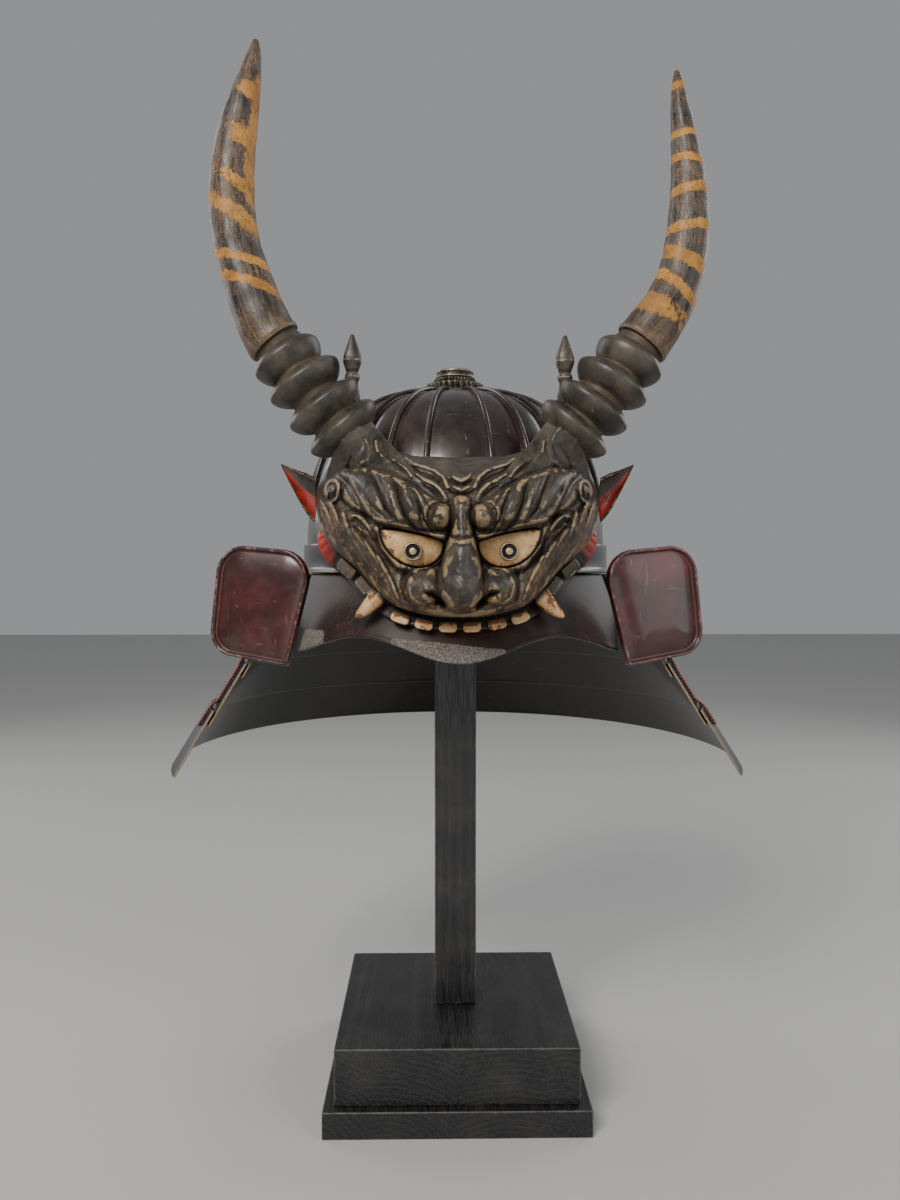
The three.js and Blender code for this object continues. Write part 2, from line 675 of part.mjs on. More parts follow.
// A place along the mouth: way from the chin, reach below the mask's edge, depth off the helmet.
function mouthPoint(way, reach, depth) {
  const t = Math.abs(way) / FACE_CURVE.getLength();
  const edge = FACE_CURVE.getPointAt(t);
  const along = FACE_CURVE.getTangentAt(t);
  const x = edge.x + along.z * reach;
  const z = FACE.centre + edge.z - along.x * reach;
  return vec(x * Math.sign(way || 1), -helmetFront(x, z, 6.4 + depth, depth), z);
}

// Stations along the mouth, each with the reach of its upper and lower edges.
function mouthStrip(stations, back, front) {
  return skin(
    stations.map(({ way, near, far }) => [
      mouthPoint(way, near, back),
      mouthPoint(way, far, back),
      mouthPoint(way, far, front),
      mouthPoint(way, near, front),
    ]),
  );
}

// The gum follows the whole lower edge of the mask and closes the corners of the mouth.
function gumGeometry() {
  const { end, chin, corner, taper, behind, back, front } = GUM;
  const steps = 24;
  const stations = Array.from({ length: steps + 1 }, (_, i) => {
    const way = mix(-end, end, i / steps);
    const left = THREE.MathUtils.clamp((end - Math.abs(way)) / taper, 0, 1);
    const full = mix(chin, corner, Math.abs(way) / end);
    return { way, near: -behind, far: mix(0.5, full, Math.sqrt(1 - (1 - left) ** 2)) };
  });
  return mouthStrip(stations, back, front);
}

// The front teeth: blocks joined by a thin web behind the edge of the lip.
function teethGeometry() {
  const { count, spacing, width, near, web, far, thickness } = TEETH;
  const stations = Array.from({ length: count }, (_, n) => {
    const middle = (n - (count - 1) / 2) * spacing;
    return [
      { way: middle - width / 2 - 0.6, near, far: web },
      { way: middle - width / 2, near, far },
      { way: middle + width / 2, near, far },
      { way: middle + width / 2 + 0.6, near, far: web },
    ];
  }).flat();
  return mouthStrip(stations, GUM.front + GAP, GUM.front + GAP + thickness);
}

function molarGeometry({ middle, width, near, far }) {
  const stations = [-0.5, 0, 0.5].map((side) => ({ way: middle + side * width, near, far }));
  return mouthStrip(stations, GUM.front + 2.5, GUM.front + 2.5 + TEETH.thickness);
}

function fangGeometry() {
  const { x, up, radius, length, lean, stand } = FANG;
  const root = vec(x, 0, FACE.centre + up);
  root.y = -helmetFront(root.x, root.z, 6.4 + stand, stand);
  const axis = vec(lean[0], -0.2, lean[1]).normalize();
  const profile = [[0, 1], [6, 0.93], [13, 0.6], [length, 0.12]];
  const sections = profile.map(([way, size]) => ({
    at: root.clone().addScaledVector(axis, way),
    radius: radius * size,
  }));
  return skin(horn(sections, 8));
}

// A pointed ear, cupped like a leaf and open to the front.
function earGeometry() {
  const { x, z, y, height, length, lift, cup, wall } = EAR;
  const rows = [
    { along: 0, high: 1 },
    { along: 0.25, high: 0.88 },
    { along: 0.5, high: 0.62 },
    { along: 0.75, high: 0.34 },
    { along: 1, high: 0.04 },
  ];
  const rings = rows.map(({ along, high }) => {
    const half = (height / 2) * high;
    const at = (up, deep) => vec(x + length * along, y + deep + 4 * along, z + up + lift * along ** 1.2);
    return [
      at(half, 0),
      at(half * 0.5, cup * high),
      at(-half * 0.5, cup * high),
      at(-half, 0),
      at(-half * 0.5, cup * high + wall * (1 - along * 0.7)),
      at(half * 0.5, cup * high + wall * (1 - along * 0.7)),
    ];
  });
  return skin(rings);
}

// ---------------------------------------------------------------- horns
function mirrored(geometry, sign) {
  if (sign > 0) return geometry;
  const turned = geometry.clone();
  const positions = turned.getAttribute("position");
  for (let i = 0; i < positions.count; i++) positions.setX(i, -positions.getX(i));
  const index = turned.index.array;
  for (let i = 0; i < index.length; i += 3) [index[i + 1], index[i + 2]] = [index[i + 2], index[i + 1]];
  return turned;
}

// The ringed base: a round core with a sharp-edged swelling at each ring.
function hornBaseGeometry() {
  const axis = HORN_AXIS.map(({ x, z }) => vec(x, HORN_Y, z));
  const { crest, core, foot, neck, sag } = HORN_RINGS;
  const sections = [{ at: axis[0], radius: foot }];
  crest.forEach((radius, i) => {
    const middle = axis[i + 1];
    const along = axis[i + 2].clone().sub(axis[i]).normalize();
    const down = vec(along.z, 0, -along.x).multiplyScalar(sag);
    const place = (shift, size, drop) =>
      sections.push({ at: middle.clone().addScaledVector(along, shift).addScaledVector(down, drop), radius: size });
    place(-8.5, core, 0);
    place(-5, mix(core, radius, 0.62), 0.6);
    place(0, radius, 1);
    place(4, mix(core, radius, 0.7), 0.6);
  });
  const end = axis[axis.length - 1];
  const back = axis[axis.length - 2].clone().sub(end).setLength(2);
  sections.push({ at: end.clone().add(back), radius: neck }, { at: end, radius: neck });
  return skin(horn(sections, 12));
}

function hornGeometry(side) {
  const sections = HORN_SECTIONS[side].map(({ x, z, radius, y }) => ({ at: vec(x, HORN_Y + y, z), radius }));
  return skin(horn(sections, 12));
}

function budGeometry() {
  const root = vec(BUD.x, HORN_Y, BUD.z);
  const sections = BUD.profile.map(([up, radius]) => ({ at: root.clone().add(vec(0, 0, up)), radius }));
  return skin(horn(sections, 8));
}

// A copy of a round piece, thickened so that it cuts a seat with a small gap all round.
function thickened(geometry, centre, gap) {
  const cut = geometry.clone();
  const positions = cut.getAttribute("position");
  const point = vec(0, 0, 0);
  for (let i = 0; i < positions.count; i++) {
    point.fromBufferAttribute(positions, i);
    const out = point.clone().sub(centre(point)).normalize();
    point.addScaledVector(out, gap);
    positions.setXYZ(i, point.x, point.y, point.z);
  }
  return solidOf(cut);
}

function nearestOnAxis(point) {
  const axis = HORN_AXIS.map(({ x, z }) => vec(x, HORN_Y, z));
  let best = axis[0];
  for (let i = 0; i + 1 < axis.length; i++) {
    const here = new THREE.Line3(axis[i], axis[i + 1]).closestPointToPoint(point, true, vec(0, 0, 0));
    if (here.distanceTo(point) < best.distanceTo(point)) best = here.clone();
  }
  return best;
}

// The hidden block that holds the crest off the front plate of the bowl.
function mountGeometry() {
  const { halfWidth, low, high, clearBack, clearFront } = CREST_MOUNT;
  const rows = [low, (low + high) / 2, high];
  const columns = [-1, -0.5, 0, 0.5, 1];
  const rings = columns.map((side) => {
    const x = side * halfWidth;
    const back = rows.map((z) => vec(x, -helmetFront(x, z, clearBack, 0), z));
    const front = rows.map((z) => vec(x, clearFront - seat(0, high) - (FACE.depth - FACE.wall) * 0.65, z)).reverse();
    return [...back, ...front];
  });
  return skin(rings);
}

function buildCrest() {
  const base = hornBaseGeometry();
  const bud = budGeometry();
  const fang = fangGeometry();
  const ear = earGeometry();
  const baseCut = geometryOf(thickened(base, nearestOnAxis, GAP + 0.1));
  const budCut = thickened(bud, (p) => vec(BUD.x, HORN_Y, Math.max(p.z, BUD.z + 1)), GAP);
  const seated = geometryOf(solidOf(base).subtract(budCut));
  const fangCut = geometryOf(thickened(fang, (p) => vec(FANG.x, p.y, FANG.up + FACE.centre), GAP));
  let mask = maskSolid();
  for (const [side, sign] of Object.entries(SIDES)) {
    for (const cut of [baseCut, fangCut]) mask = mask.subtract(solidOf(mirrored(cut, sign)));
    mask = mask.subtract(eyeCut(sign));
    add(`horn_base_${side}`, mirrored(seated, sign), FINISH.carvedWood);
    add(`horn_${side}`, mirrored(hornGeometry(side), sign), FINISH.carvedWood);
    add(`bud_${side}`, mirrored(bud, sign), FINISH.carvedWood);
    add(`ear_${side}`, mirrored(ear, sign), FINISH.carvedWood);
    add(`eye_${side}`, eyeSolid(sign), FINISH.bone);
    const eyeFront = EYE.front - EYE.dome - GAP;
    const pupil = stud(sign * PUPIL.x, PUPIL.z, PUPIL.radius, eyeFront, eyeFront - PUPIL.height, 12);
    add(`pupil_${side}`, pupil, FINISH.iron);
    add(`fang_${side}`, mirrored(fang, sign), FINISH.bone);
    MOLARS.forEach((molar, n) => {
      add(`molar_${side}_${n + 1}`, mirrored(molarGeometry(molar), sign), FINISH.carvedWood);
    });
  }
  add("gum", gumGeometry(), FINISH.vermilion);
  add("teeth", teethGeometry(), FINISH.bone);
  // the seats of the horns leave small chips, which go with them
  const [carved] = mask.decompose().sort((a, b) => b.volume() - a.volume());
  add("mask", geometryOf(carved), FINISH.carvedWood);
  add("crest_mount", mountGeometry(), FINISH.carvedWood);
}

buildStand();
buildBowl();
buildHipBand();
buildRest();
buildCrown();
buildPeak();
buildLames();
buildLacing();
buildTurnbacks();
buildCrest();

export default group;
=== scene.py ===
# %% [markdown]
# # A horned kabuto on its stand
# A kabuto is a samurai's helmet: a ribbed iron bowl, a peak over the eyes, a neck guard of
# lacquered strips laced with silk, and here a carved and painted demon's head as its crest.
# It stands on a plain black timber stand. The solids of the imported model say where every
# piece goes, so each cell below makes one piece in that same space, in metres, and this
# lesson is about giving those pieces the surfaces that a maker's hand left on them.

import math

import bpy
import numpy as np
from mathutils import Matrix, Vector


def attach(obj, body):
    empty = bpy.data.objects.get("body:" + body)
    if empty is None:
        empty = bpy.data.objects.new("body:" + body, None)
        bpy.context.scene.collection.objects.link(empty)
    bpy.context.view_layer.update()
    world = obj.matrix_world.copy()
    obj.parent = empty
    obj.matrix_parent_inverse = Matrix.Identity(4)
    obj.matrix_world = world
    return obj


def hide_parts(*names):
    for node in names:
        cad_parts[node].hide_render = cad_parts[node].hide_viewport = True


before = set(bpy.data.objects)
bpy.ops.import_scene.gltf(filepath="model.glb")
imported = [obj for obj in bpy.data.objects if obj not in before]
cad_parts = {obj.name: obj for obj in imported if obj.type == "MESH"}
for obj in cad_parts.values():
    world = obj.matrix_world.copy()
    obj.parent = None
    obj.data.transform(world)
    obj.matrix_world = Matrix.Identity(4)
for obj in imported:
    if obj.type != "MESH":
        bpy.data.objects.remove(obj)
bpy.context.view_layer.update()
MM = 0.001
TURN = 2 * math.pi
SIDES = {"right": 1, "left": -1}

# %% [markdown]
# ## Camera, floor and light
# The helmet is seen from the front, a little above the middle of the bowl, with a wide lens
# held close. That makes the crest loom and the stand shrink, so the camera has to stand just
# as near. Lights could be small and hard, but lacquer shows every lamp as a bright dot. Large
# soft panels give it the broad, quiet reflections of a studio instead.

# %% Stand the camera in front of the crest
CAMERA = {"distance": 0.780, "height": 0.405, "azimuth": 1.2, "turn": 0.3, "pitch": 1.37}
lens = bpy.data.cameras.new("camera")
lens.sensor_fit = "VERTICAL"
lens.sensor_height = 36
lens.lens = 28.8
lens.clip_start = 0.01
camera = bpy.data.objects.new("camera", lens)
bpy.context.scene.collection.objects.link(camera)
swing = math.radians(CAMERA["azimuth"])
camera.location = (
    -CAMERA["distance"] * math.sin(swing), -CAMERA["distance"] * math.cos(swing), CAMERA["height"],
)
camera.rotation_euler = (
    math.radians(90 - CAMERA["pitch"]), 0, math.radians(CAMERA["turn"] - CAMERA["azimuth"]),
)
bpy.context.scene.camera = camera
print("camera at", [round(v, 3) for v in camera.location])


# %% Hang the soft panels
def soft_panel(name, place, aim, size, power, colour=(1, 1, 1)):
    light = bpy.data.lights.new(name, "AREA")
    light.shape = "RECTANGLE"
    light.size, light.size_y = size
    light.energy = power
    light.color = colour
    panel = bpy.data.objects.new(name, light)
    bpy.context.scene.collection.objects.link(panel)
    panel.location = place
    panel.rotation_euler = (Vector(aim) - Vector(place)).to_track_quat("-Z", "Y").to_euler()
    return panel


soft_panel("key", (-0.75, -1.5, 1.55), (0, 0, 0.45), (0.8, 0.8), 40, (1, 0.96, 0.9))
soft_panel("fill", (1.5, -1.1, 0.9), (0, 0, 0.4), (1.2, 1.6), 11)
soft_panel("low", (0.1, -1.9, 0.25), (0, 0, 0.35), (1.4, 0.5), 3)
soft_panel("back_left", (-1.4, 1.0, 1.3), (0, 0, 0.5), (0.8, 1.4), 9)
soft_panel("back_right", (1.4, 1.0, 1.3), (0, 0, 0.5), (0.8, 1.4), 9)

# %% [markdown]
# ## A small language for materials
# A material is a graph of nodes, and writing every link by hand buries its idea. A few short
# helpers are enough: one makes a node and plugs values or other nodes into its sockets, and
# the others wrap the nodes that these finishes need over and over, such as a noise, a soft
# threshold and a mix of two colours.


# %% Plug nodes together
def plug(tree, socket, value):
    if isinstance(value, bpy.types.Node):
        tree.links.new(value.outputs[0], socket)
    elif isinstance(value, bpy.types.NodeSocket):
        tree.links.new(value, socket)
    else:
        socket.default_value = value


def node(tree, kind, inputs=(), **settings):
    made = tree.nodes.new(kind)
    for key, value in settings.items():
        setattr(made, key, value)
    for socket, value in dict(inputs).items():
        plug(tree, made.inputs[socket], value)
    return made


def sums(tree, operation, a, b=0.0, clamp=False):
    return node(tree, "ShaderNodeMath", {0: a, 1: b}, operation=operation, use_clamp=clamp)


def plus(tree, a, b, clamp=False):
    return sums(tree, "ADD", a, b, clamp=clamp)


def minus(tree, a, b, clamp=False):
    return sums(tree, "SUBTRACT", a, b, clamp=clamp)


def times(tree, a, b, clamp=False):
    return sums(tree, "MULTIPLY", a, b, clamp=clamp)


def between(tree, value, low, high):
    return node(
        tree, "ShaderNodeMapRange", {"Value": value, "From Min": low, "From Max": high},
        interpolation_type="SMOOTHSTEP",
    )


def noise(tree, vector, scale, detail=4.0, roughness=0.55, distortion=0.0):
    return node(tree, "ShaderNodeTexNoise", {
        "Vector": vector, "Scale": scale, "Detail": detail, "Roughness": roughness,
        "Distortion": distortion,
    })


def stretch(tree, vector, scale):
    return node(tree, "ShaderNodeMapping", {"Vector": vector, "Scale": scale})


def blend_colour(tree, share, a, b, mode="MIX"):
    return node(
        tree, "ShaderNodeMix", {0: share, 6: a, 7: b}, data_type="RGBA", blend_type=mode,
    ).outputs[2]


def bump(tree, height, strength, distance, normal=None):
    made = node(tree, "ShaderNodeBump", {
        "Height": height, "Strength": strength, "Distance": distance,
    })
    if normal is not None:
        plug(tree, made.inputs["Normal"], normal)
    return made


def paint(code):
    """A colour as hexadecimal, turned into the linear values that a shader wants."""
    parts = [int(code[i:i + 2], 16) / 255 for i in (0, 2, 4)]
    return tuple(p / 12.92 if p <= 0.04045 else ((p + 0.055) / 1.055) ** 2.4 for p in parts) + (1,)


print("a test colour:", [round(v, 3) for v in paint("a2763e")])


# %% Start a material, and read what is painted on the mesh
def new_material(name, roughness=0.5, metallic=0.0, coat=0.0, coat_roughness=0.1, specular=0.5):
    made = bpy.data.materials.new(name)
    made.use_nodes = True
    tree = made.node_tree
    shader = tree.nodes["Principled BSDF"]
    shader.inputs["Roughness"].default_value = roughness
    shader.inputs["Metallic"].default_value = metallic
    shader.inputs["Coat Weight"].default_value = coat
    shader.inputs["Coat Roughness"].default_value = coat_roughness
    shader.inputs["Specular IOR Level"].default_value = specular
    return made, tree, shader.inputs


def object_place(tree):
    return node(tree, "ShaderNodeTexCoord").outputs["Object"]


def painted(tree, name):
    return node(tree, "ShaderNodeAttribute", attribute_name=name).outputs["Fac"]


def flow(tree):
    """The straightened place that horns and braids carry: round the piece, and along it."""
    return node(tree, "ShaderNodeAttribute", attribute_name="flow").outputs["Vector"]


# %% [markdown]
# ## Effects that several finishes share
# Dust in the hollows, worn edges, cracks, scratches and wood grain turn up on many pieces.
# They could be rebuilt in each material, but then no two would match and none could be corrected in one
# place. Each one is a node group with named inputs, made once, and every material sets its own amounts. The
# dust and worn-edge groups also lay painted shade and painted highlight on a few pieces.


# %% Open a node group
def open_group(name, inputs, outputs):
    tree = bpy.data.node_groups.new(name, "ShaderNodeTree")
    kinds = {"vector": "NodeSocketVector", "number": "NodeSocketFloat", "colour": "NodeSocketColor"}
    for label, kind, value in inputs:
        socket = tree.interface.new_socket(label, in_out="INPUT", socket_type=kinds[kind])
        if value is not None:
            socket.default_value = value
    for label, kind in outputs:
        tree.interface.new_socket(label, in_out="OUTPUT", socket_type=kinds[kind])
    return tree, tree.nodes.new("NodeGroupInput").outputs, tree.nodes.new("NodeGroupOutput").inputs


def place_group(tree, group, **inputs):
    made = tree.nodes.new("ShaderNodeGroup")
    made.node_tree = group
    for label, value in inputs.items():
        plug(tree, made.inputs[label.replace("_", " ")], value)
    return made


# %% Wear: an edge breaks through its paint in patches
# The carved wood and the iron studs also use this mask as a painted highlight on crests and rims.
worn_edge, given, result = open_group(
    "worn edge",
    [("Place", "vector", None), ("Edge", "number", 0.0), ("Amount", "number", 0.5),
     ("Scale", "number", 200.0)],
    [("Mask", "number")],
)
patches = noise(worn_edge, given["Place"], given["Scale"], 5, 0.6)
reach = sums(worn_edge, "ADD", given["Edge"], sums(worn_edge, "SUBTRACT", patches, 0.5))
low = sums(worn_edge, "SUBTRACT", 1.0, given["Amount"])
plug(worn_edge, result["Mask"], between(worn_edge, reach, low, sums(worn_edge, "ADD", low, 0.12)))

# %% Dust: a haze with scattered specks
# On the vermilion gum this mask, fed by the gum's hollow mark, also lays painted shade.
dusty, given, result = open_group(
    "dust",
    [("Place", "vector", None), ("Hollow", "number", 0.0), ("Haze", "number", 0.3),
     ("Specks", "number", 0.3), ("Scale", "number", 60.0)],
    [("Mask", "number")],
)
cloud = between(dusty, noise(dusty, given["Place"], given["Scale"], 6, 0.65), 0.42, 0.78)
grit_scale = sums(dusty, "MULTIPLY", given["Scale"], 14.0)
grit = node(dusty, "ShaderNodeTexVoronoi", {"Vector": given["Place"], "Scale": grit_scale})
spot = between(dusty, grit.outputs["Distance"], 0.16, 0.06)
rare = between(dusty, noise(dusty, given["Place"], grit_scale, 2), 0.56, 0.66)
specks = sums(dusty, "MULTIPLY", sums(dusty, "MULTIPLY", spot, rare), given["Specks"])
veil = sums(dusty, "MULTIPLY", sums(dusty, "ADD", cloud, given["Hollow"]), given["Haze"])
plug(dusty, result["Mask"], sums(dusty, "ADD", veil, specks, clamp=True))

# %% Cracks: paint that has shrunk into small islands
crackled, given, result = open_group(
    "crackle",
    [("Place", "vector", None), ("Scale", "number", 300.0), ("Width", "number", 0.05)],
    [("Mask", "number")],
)
bent = noise(crackled, given["Place"], sums(crackled, "MULTIPLY", given["Scale"], 0.7), 3)
drift = node(crackled, "ShaderNodeVectorMath", {0: bent.outputs["Color"], 1: (0.004, 0.004, 0.004)},
             operation="MULTIPLY")
moved = node(crackled, "ShaderNodeVectorMath", {0: given["Place"], 1: drift.outputs[0]},
             operation="ADD")
cells = node(crackled, "ShaderNodeTexVoronoi", {"Vector": moved, "Scale": given["Scale"]},
             feature="DISTANCE_TO_EDGE")
plug(crackled, result["Mask"], between(crackled, cells.outputs[0], given["Width"], 0.0))

# %% Scratches: long fine lines in two directions
scratched, given, result = open_group(
    "scratches",
    [("Place", "vector", None), ("Amount", "number", 0.3), ("Scale", "number", 60.0)],
    [("Mask", "number")],
)
strands = []
for way in ((1, 9, 9), (8, 7, 0.9)):
    lines = noise(scratched, stretch(scratched, given["Place"], way), given["Scale"], 2, 0.5, 0.6)
    strands.append(between(scratched, lines, 0.69, 0.73))
both = sums(scratched, "MAXIMUM", strands[0], strands[1])
plug(scratched, result["Mask"], sums(scratched, "MULTIPLY", both, given["Amount"]))

# %% Grain: growth rings of boards cut along one axis
grained, given, result = open_group(
    "wood grain",
    [("Place", "vector", None), ("Board", "number", 0.06), ("Rings", "number", 500.0)],
    [("Rings", "number"), ("Pores", "number")],
)
parts = node(grained, "ShaderNodeSeparateXYZ", {0: given["Place"]})
board = sums(grained, "FLOOR", sums(grained, "DIVIDE", parts.outputs[0], given["Board"]))
luck = node(grained, "ShaderNodeTexWhiteNoise", {"W": board}, noise_dimensions="1D")
pick = node(grained, "ShaderNodeSeparateColor", {0: luck.outputs["Color"]})
middle_x = sums(grained, "MULTIPLY", sums(grained, "ADD", board, pick.outputs[0]), given["Board"])
middle_z = sums(grained, "SUBTRACT", sums(grained, "MULTIPLY", pick.outputs[1], 0.16), 0.09)
wander = noise(grained, stretch(grained, given["Place"], (14, 2.5, 14)), 1.0, 3)
far_x = sums(grained, "SUBTRACT", parts.outputs[0], middle_x)
far_z = sums(grained, "SUBTRACT", parts.outputs[2], middle_z)
radius = sums(grained, "SQRT", sums(
    grained, "ADD", sums(grained, "MULTIPLY", far_x, far_x), sums(grained, "MULTIPLY", far_z, far_z)))
radius = sums(grained, "ADD", radius, sums(grained, "MULTIPLY", wander, 0.012))
wave = sums(grained, "SINE", sums(grained, "MULTIPLY", radius, given["Rings"]))
plug(grained, result["Rings"], between(grained, wave, -0.4, 1.0))
pores = noise(grained, stretch(grained, given["Place"], (900, 40, 900)), 1.0, 3, 0.6)
plug(grained, result["Pores"], between(grained, pores, 0.45, 0.62))
print("groups:", [g.name for g in bpy.data.node_groups])

# %% [markdown]
# ## From rows of points to a mesh
# Almost every piece is a skin over rows of points: a bowl, a strip, a horn. Blender's own
# primitives would need pulling about by hand, while a grid of points can follow a rule
# exactly. The helper below builds the faces, turns them outwards, and paints numbers on the
# points, so that a material can find an edge, a hollow or a stripe.


# %% Skin a grid of points
def grid_faces(rows, columns, around=False, ring=False, start=0):
    r, c = np.meshgrid(
        np.arange(rows if ring else rows - 1), np.arange(columns if around else columns - 1),
        indexing="ij",
    )
    r2, c2 = (r + 1) % rows, (c + 1) % columns
    quads = [r * columns + c, r * columns + c2, r2 * columns + c2, r2 * columns + c]
    return (np.stack(quads, -1).reshape(-1, 4) + start).tolist()


def fan_faces(first, count, middle, turned):
    loop = [first + i for i in range(count)]
    pairs = zip(loop, loop[1:] + loop[:1])
    return [(b, a, middle) if turned else (a, b, middle) for a, b in pairs]


def volume_of(points, faces):
    total = 0.0
    for size in (3, 4):
        these = np.array([f for f in faces if len(f) == size])
        for k in range(1, size - 1):
            if len(these):
                a, b, c = points[these[:, 0]], points[these[:, k]], points[these[:, k + 1]]
                total += float(np.einsum("ij,ij->", a, np.cross(b, c)))
    return total


def build(name, points, faces, painted_on=None, sharp=50):
    points = np.asarray(points, float).reshape(-1, 3) * MM
    if volume_of(points, faces) < 0:
        faces = [tuple(reversed(f)) for f in faces]
    mesh = bpy.data.meshes.new(name)
    mesh.from_pydata(points.tolist(), [], faces)
    mesh.shade_smooth()
    mesh.set_sharp_from_angle(angle=math.radians(sharp))
    for label, values in (painted_on or {}).items():
        values = np.asarray(values, float)
        vector = values.ndim > 1 and values.shape[-1] == 3 and values.size == points.size
        layer = mesh.attributes.new(label, "FLOAT_VECTOR" if vector else "FLOAT", "POINT")
        layer.data.foreach_set("vector" if vector else "value", values.reshape(-1))
    piece = bpy.data.objects.new(name, mesh)
    bpy.context.scene.collection.objects.link(piece)
    return piece


# %% Close a skin: a tube with two ends, or a sheet with a front and a back
def tube(name, rings, painted_on=None, sharp=50):
    rings = np.asarray(rings, float)
    rows, columns = rings.shape[:2]
    points = np.concatenate([rings.reshape(-1, 3), rings[0].mean(0)[None], rings[-1].mean(0)[None]])
    faces = grid_faces(rows, columns, around=True)
    faces += fan_faces(0, columns, rows * columns, True)
    faces += fan_faces((rows - 1) * columns, columns, rows * columns + 1, False)
    extra = {}
    for label, values in (painted_on or {}).items():
        values = np.asarray(values, float)
        values = values.reshape(rows * columns, -1)
        ends = [values[:columns].mean(0)[None], values[-columns:].mean(0)[None]]
        extra[label] = np.concatenate([values, *ends]).squeeze()
    return build(name, points, faces, extra, sharp)


def sheet(name, front, back, painted_on=None, around=False, sharp=50):
    front, back = np.asarray(front, float), np.asarray(back, float)
    rows, columns = front.shape[:2]
    count = rows * columns
    faces = grid_faces(rows, columns, around)
    faces += [tuple(reversed(f)) for f in grid_faces(rows, columns, around, start=count)]
    index = np.arange(count).reshape(rows, columns)
    if around:
        loops = [list(index[0][::-1]), list(index[-1])]
    else:
        loops = [list(index[0, ::-1]) + list(index[1:, 0]) + list(index[-1, 1:]) + list(index[-2:0:-1, -1])]
    for loop in loops:
        loop = [int(i) for i in loop]
        for a, b in zip(loop, loop[1:] + loop[:1]):
            faces.append((b, a, a + count, b + count))
    extra = {k: np.concatenate([np.asarray(a).reshape(count, -1), np.asarray(b).reshape(count, -1)]).squeeze()
             for k, (a, b) in (painted_on or {}).items()}
    return build(name, np.concatenate([front.reshape(-1, 3), back.reshape(-1, 3)]), faces, extra, sharp)


# %% Hand a finished piece over to the model
def dress(piece, material, slot, *nodes):
    if material.name not in [m.name for m in piece.data.materials if m]:
        piece.data.materials.clear()
        piece.data.materials.append(material)
    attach(piece, "root")
    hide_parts(*nodes)
    print(piece.name, "faces:", len(piece.data.polygons), "stands for", ", ".join(nodes) or "nothing")
    return piece


def soft_step(value, low, high):
    t = np.clip((value - low) / (high - low), 0, 1)
    return t * t * (3 - 2 * t)


def mix(a, b, t):
    return a + (b - a) * t


# %% [markdown]
# ## The timber stand
# The stand is three pieces of black-stained wood: a slab, a block on it, and a square post.
# A cube with a bevel would do for the outline, but stained wood shows its age at the corners,
# where handling has rounded them and rubbed the stain thin. So each piece is a grid of points
# pulled in round its edges, and every point knows how near an edge it is.

# %% Black-stained wood
STAIN = {"dark": "050506", "light": "161618", "worn": "57524a", "dust": "6f6b64"}


def wood_finish(name, order, board, rings, dust):
    material, tree, shader = new_material(name, coat=0.12, coat_roughness=0.3, specular=0.5)
    here = object_place(tree)
    parts = node(tree, "ShaderNodeSeparateXYZ", {0: here}).outputs
    turned = node(tree, "ShaderNodeCombineXYZ", {i: parts[k] for i, k in enumerate(order)})
    grain = place_group(tree, grained, Place=turned, Board=board, Rings=rings)
    worn = place_group(tree, worn_edge, Place=here, Edge=painted(tree, "edge"), Amount=0.42, Scale=160.0)
    grime = place_group(tree, dusty, Place=here, Hollow=0.0, Haze=dust, Specks=0.3, Scale=22.0)
    colour = blend_colour(tree, grain.outputs["Rings"], paint(STAIN["dark"]), paint(STAIN["light"]))
    colour = blend_colour(tree, times(tree, grain.outputs["Pores"], 0.45), colour, paint("2a2a2d"))
    colour = blend_colour(tree, grime.outputs["Mask"], colour, paint(STAIN["dust"]))
    colour = blend_colour(tree, times(tree, worn.outputs["Mask"], 0.7), colour, paint(STAIN["worn"]))
    plug(tree, shader["Base Color"], colour)
    rough = plus(tree, 0.36, times(tree, grain.outputs["Pores"], 0.25))
    plug(tree, shader["Roughness"], plus(tree, rough, times(tree, grime.outputs["Mask"], 0.3)))
    height = minus(tree, times(tree, grain.outputs["Rings"], 0.5), grain.outputs["Pores"])
    plug(tree, shader["Normal"], bump(tree, height, 0.5, 0.0003))
    return material


base_wood = wood_finish("stained base wood", (0, 1, 2), 0.065, 1400.0, 0.12)
post_wood = wood_finish("stained post wood", (0, 2, 1), 0.2, 900.0, 0.16)
print("materials:", base_wood.name, post_wood.name)


# %% Saw and ease a block of timber
def timber(name, low, high, radius, step):
    low, high = np.array(low, float), np.array(high, float)
    points, faces = [], []
    cuts = []
    for a, b in zip(low, high):
        near = np.array([0, 0.1, 0.3, 0.6, 1, 1.8, 3]) * radius
        inner = np.linspace(a + near[-1], b - near[-1], max(3, int((b - a) / step)))[1:-1]
        cuts.append(np.concatenate([a + near, inner, (b - near)[::-1]]))
    for axis in range(3):
        u, v = [i for i in range(3) if i != axis]
        for end in (low[axis], high[axis]):
            grid = np.zeros((len(cuts[u]), len(cuts[v]), 3))
            grid[..., u], grid[..., v] = np.meshgrid(cuts[u], cuts[v], indexing="ij")
            grid[..., axis] = end
            turned = (axis == 1) == (end == high[axis])
            quads = grid_faces(*grid.shape[:2], start=len(points))
            faces += [tuple(reversed(f)) for f in quads] if turned else quads
            points += grid.reshape(-1, 3).tolist()
    keys = {}
    index = [keys.setdefault(tuple(np.round(p, 4)), len(keys)) for p in points]
    points = np.array(list(keys))
    faces = [tuple(index[i] for i in f) for f in faces]
    core = np.clip(points, low + radius, high - radius)
    out = points - core
    size = np.maximum(np.linalg.norm(out, axis=1, keepdims=True), 1e-6)
    far = np.sort(np.minimum(points - low, high - points), axis=1)[:, 1]
    return build(name, core + out / size * np.minimum(size, radius), faces, {"edge": np.exp(-far / 1.6)}, 60)


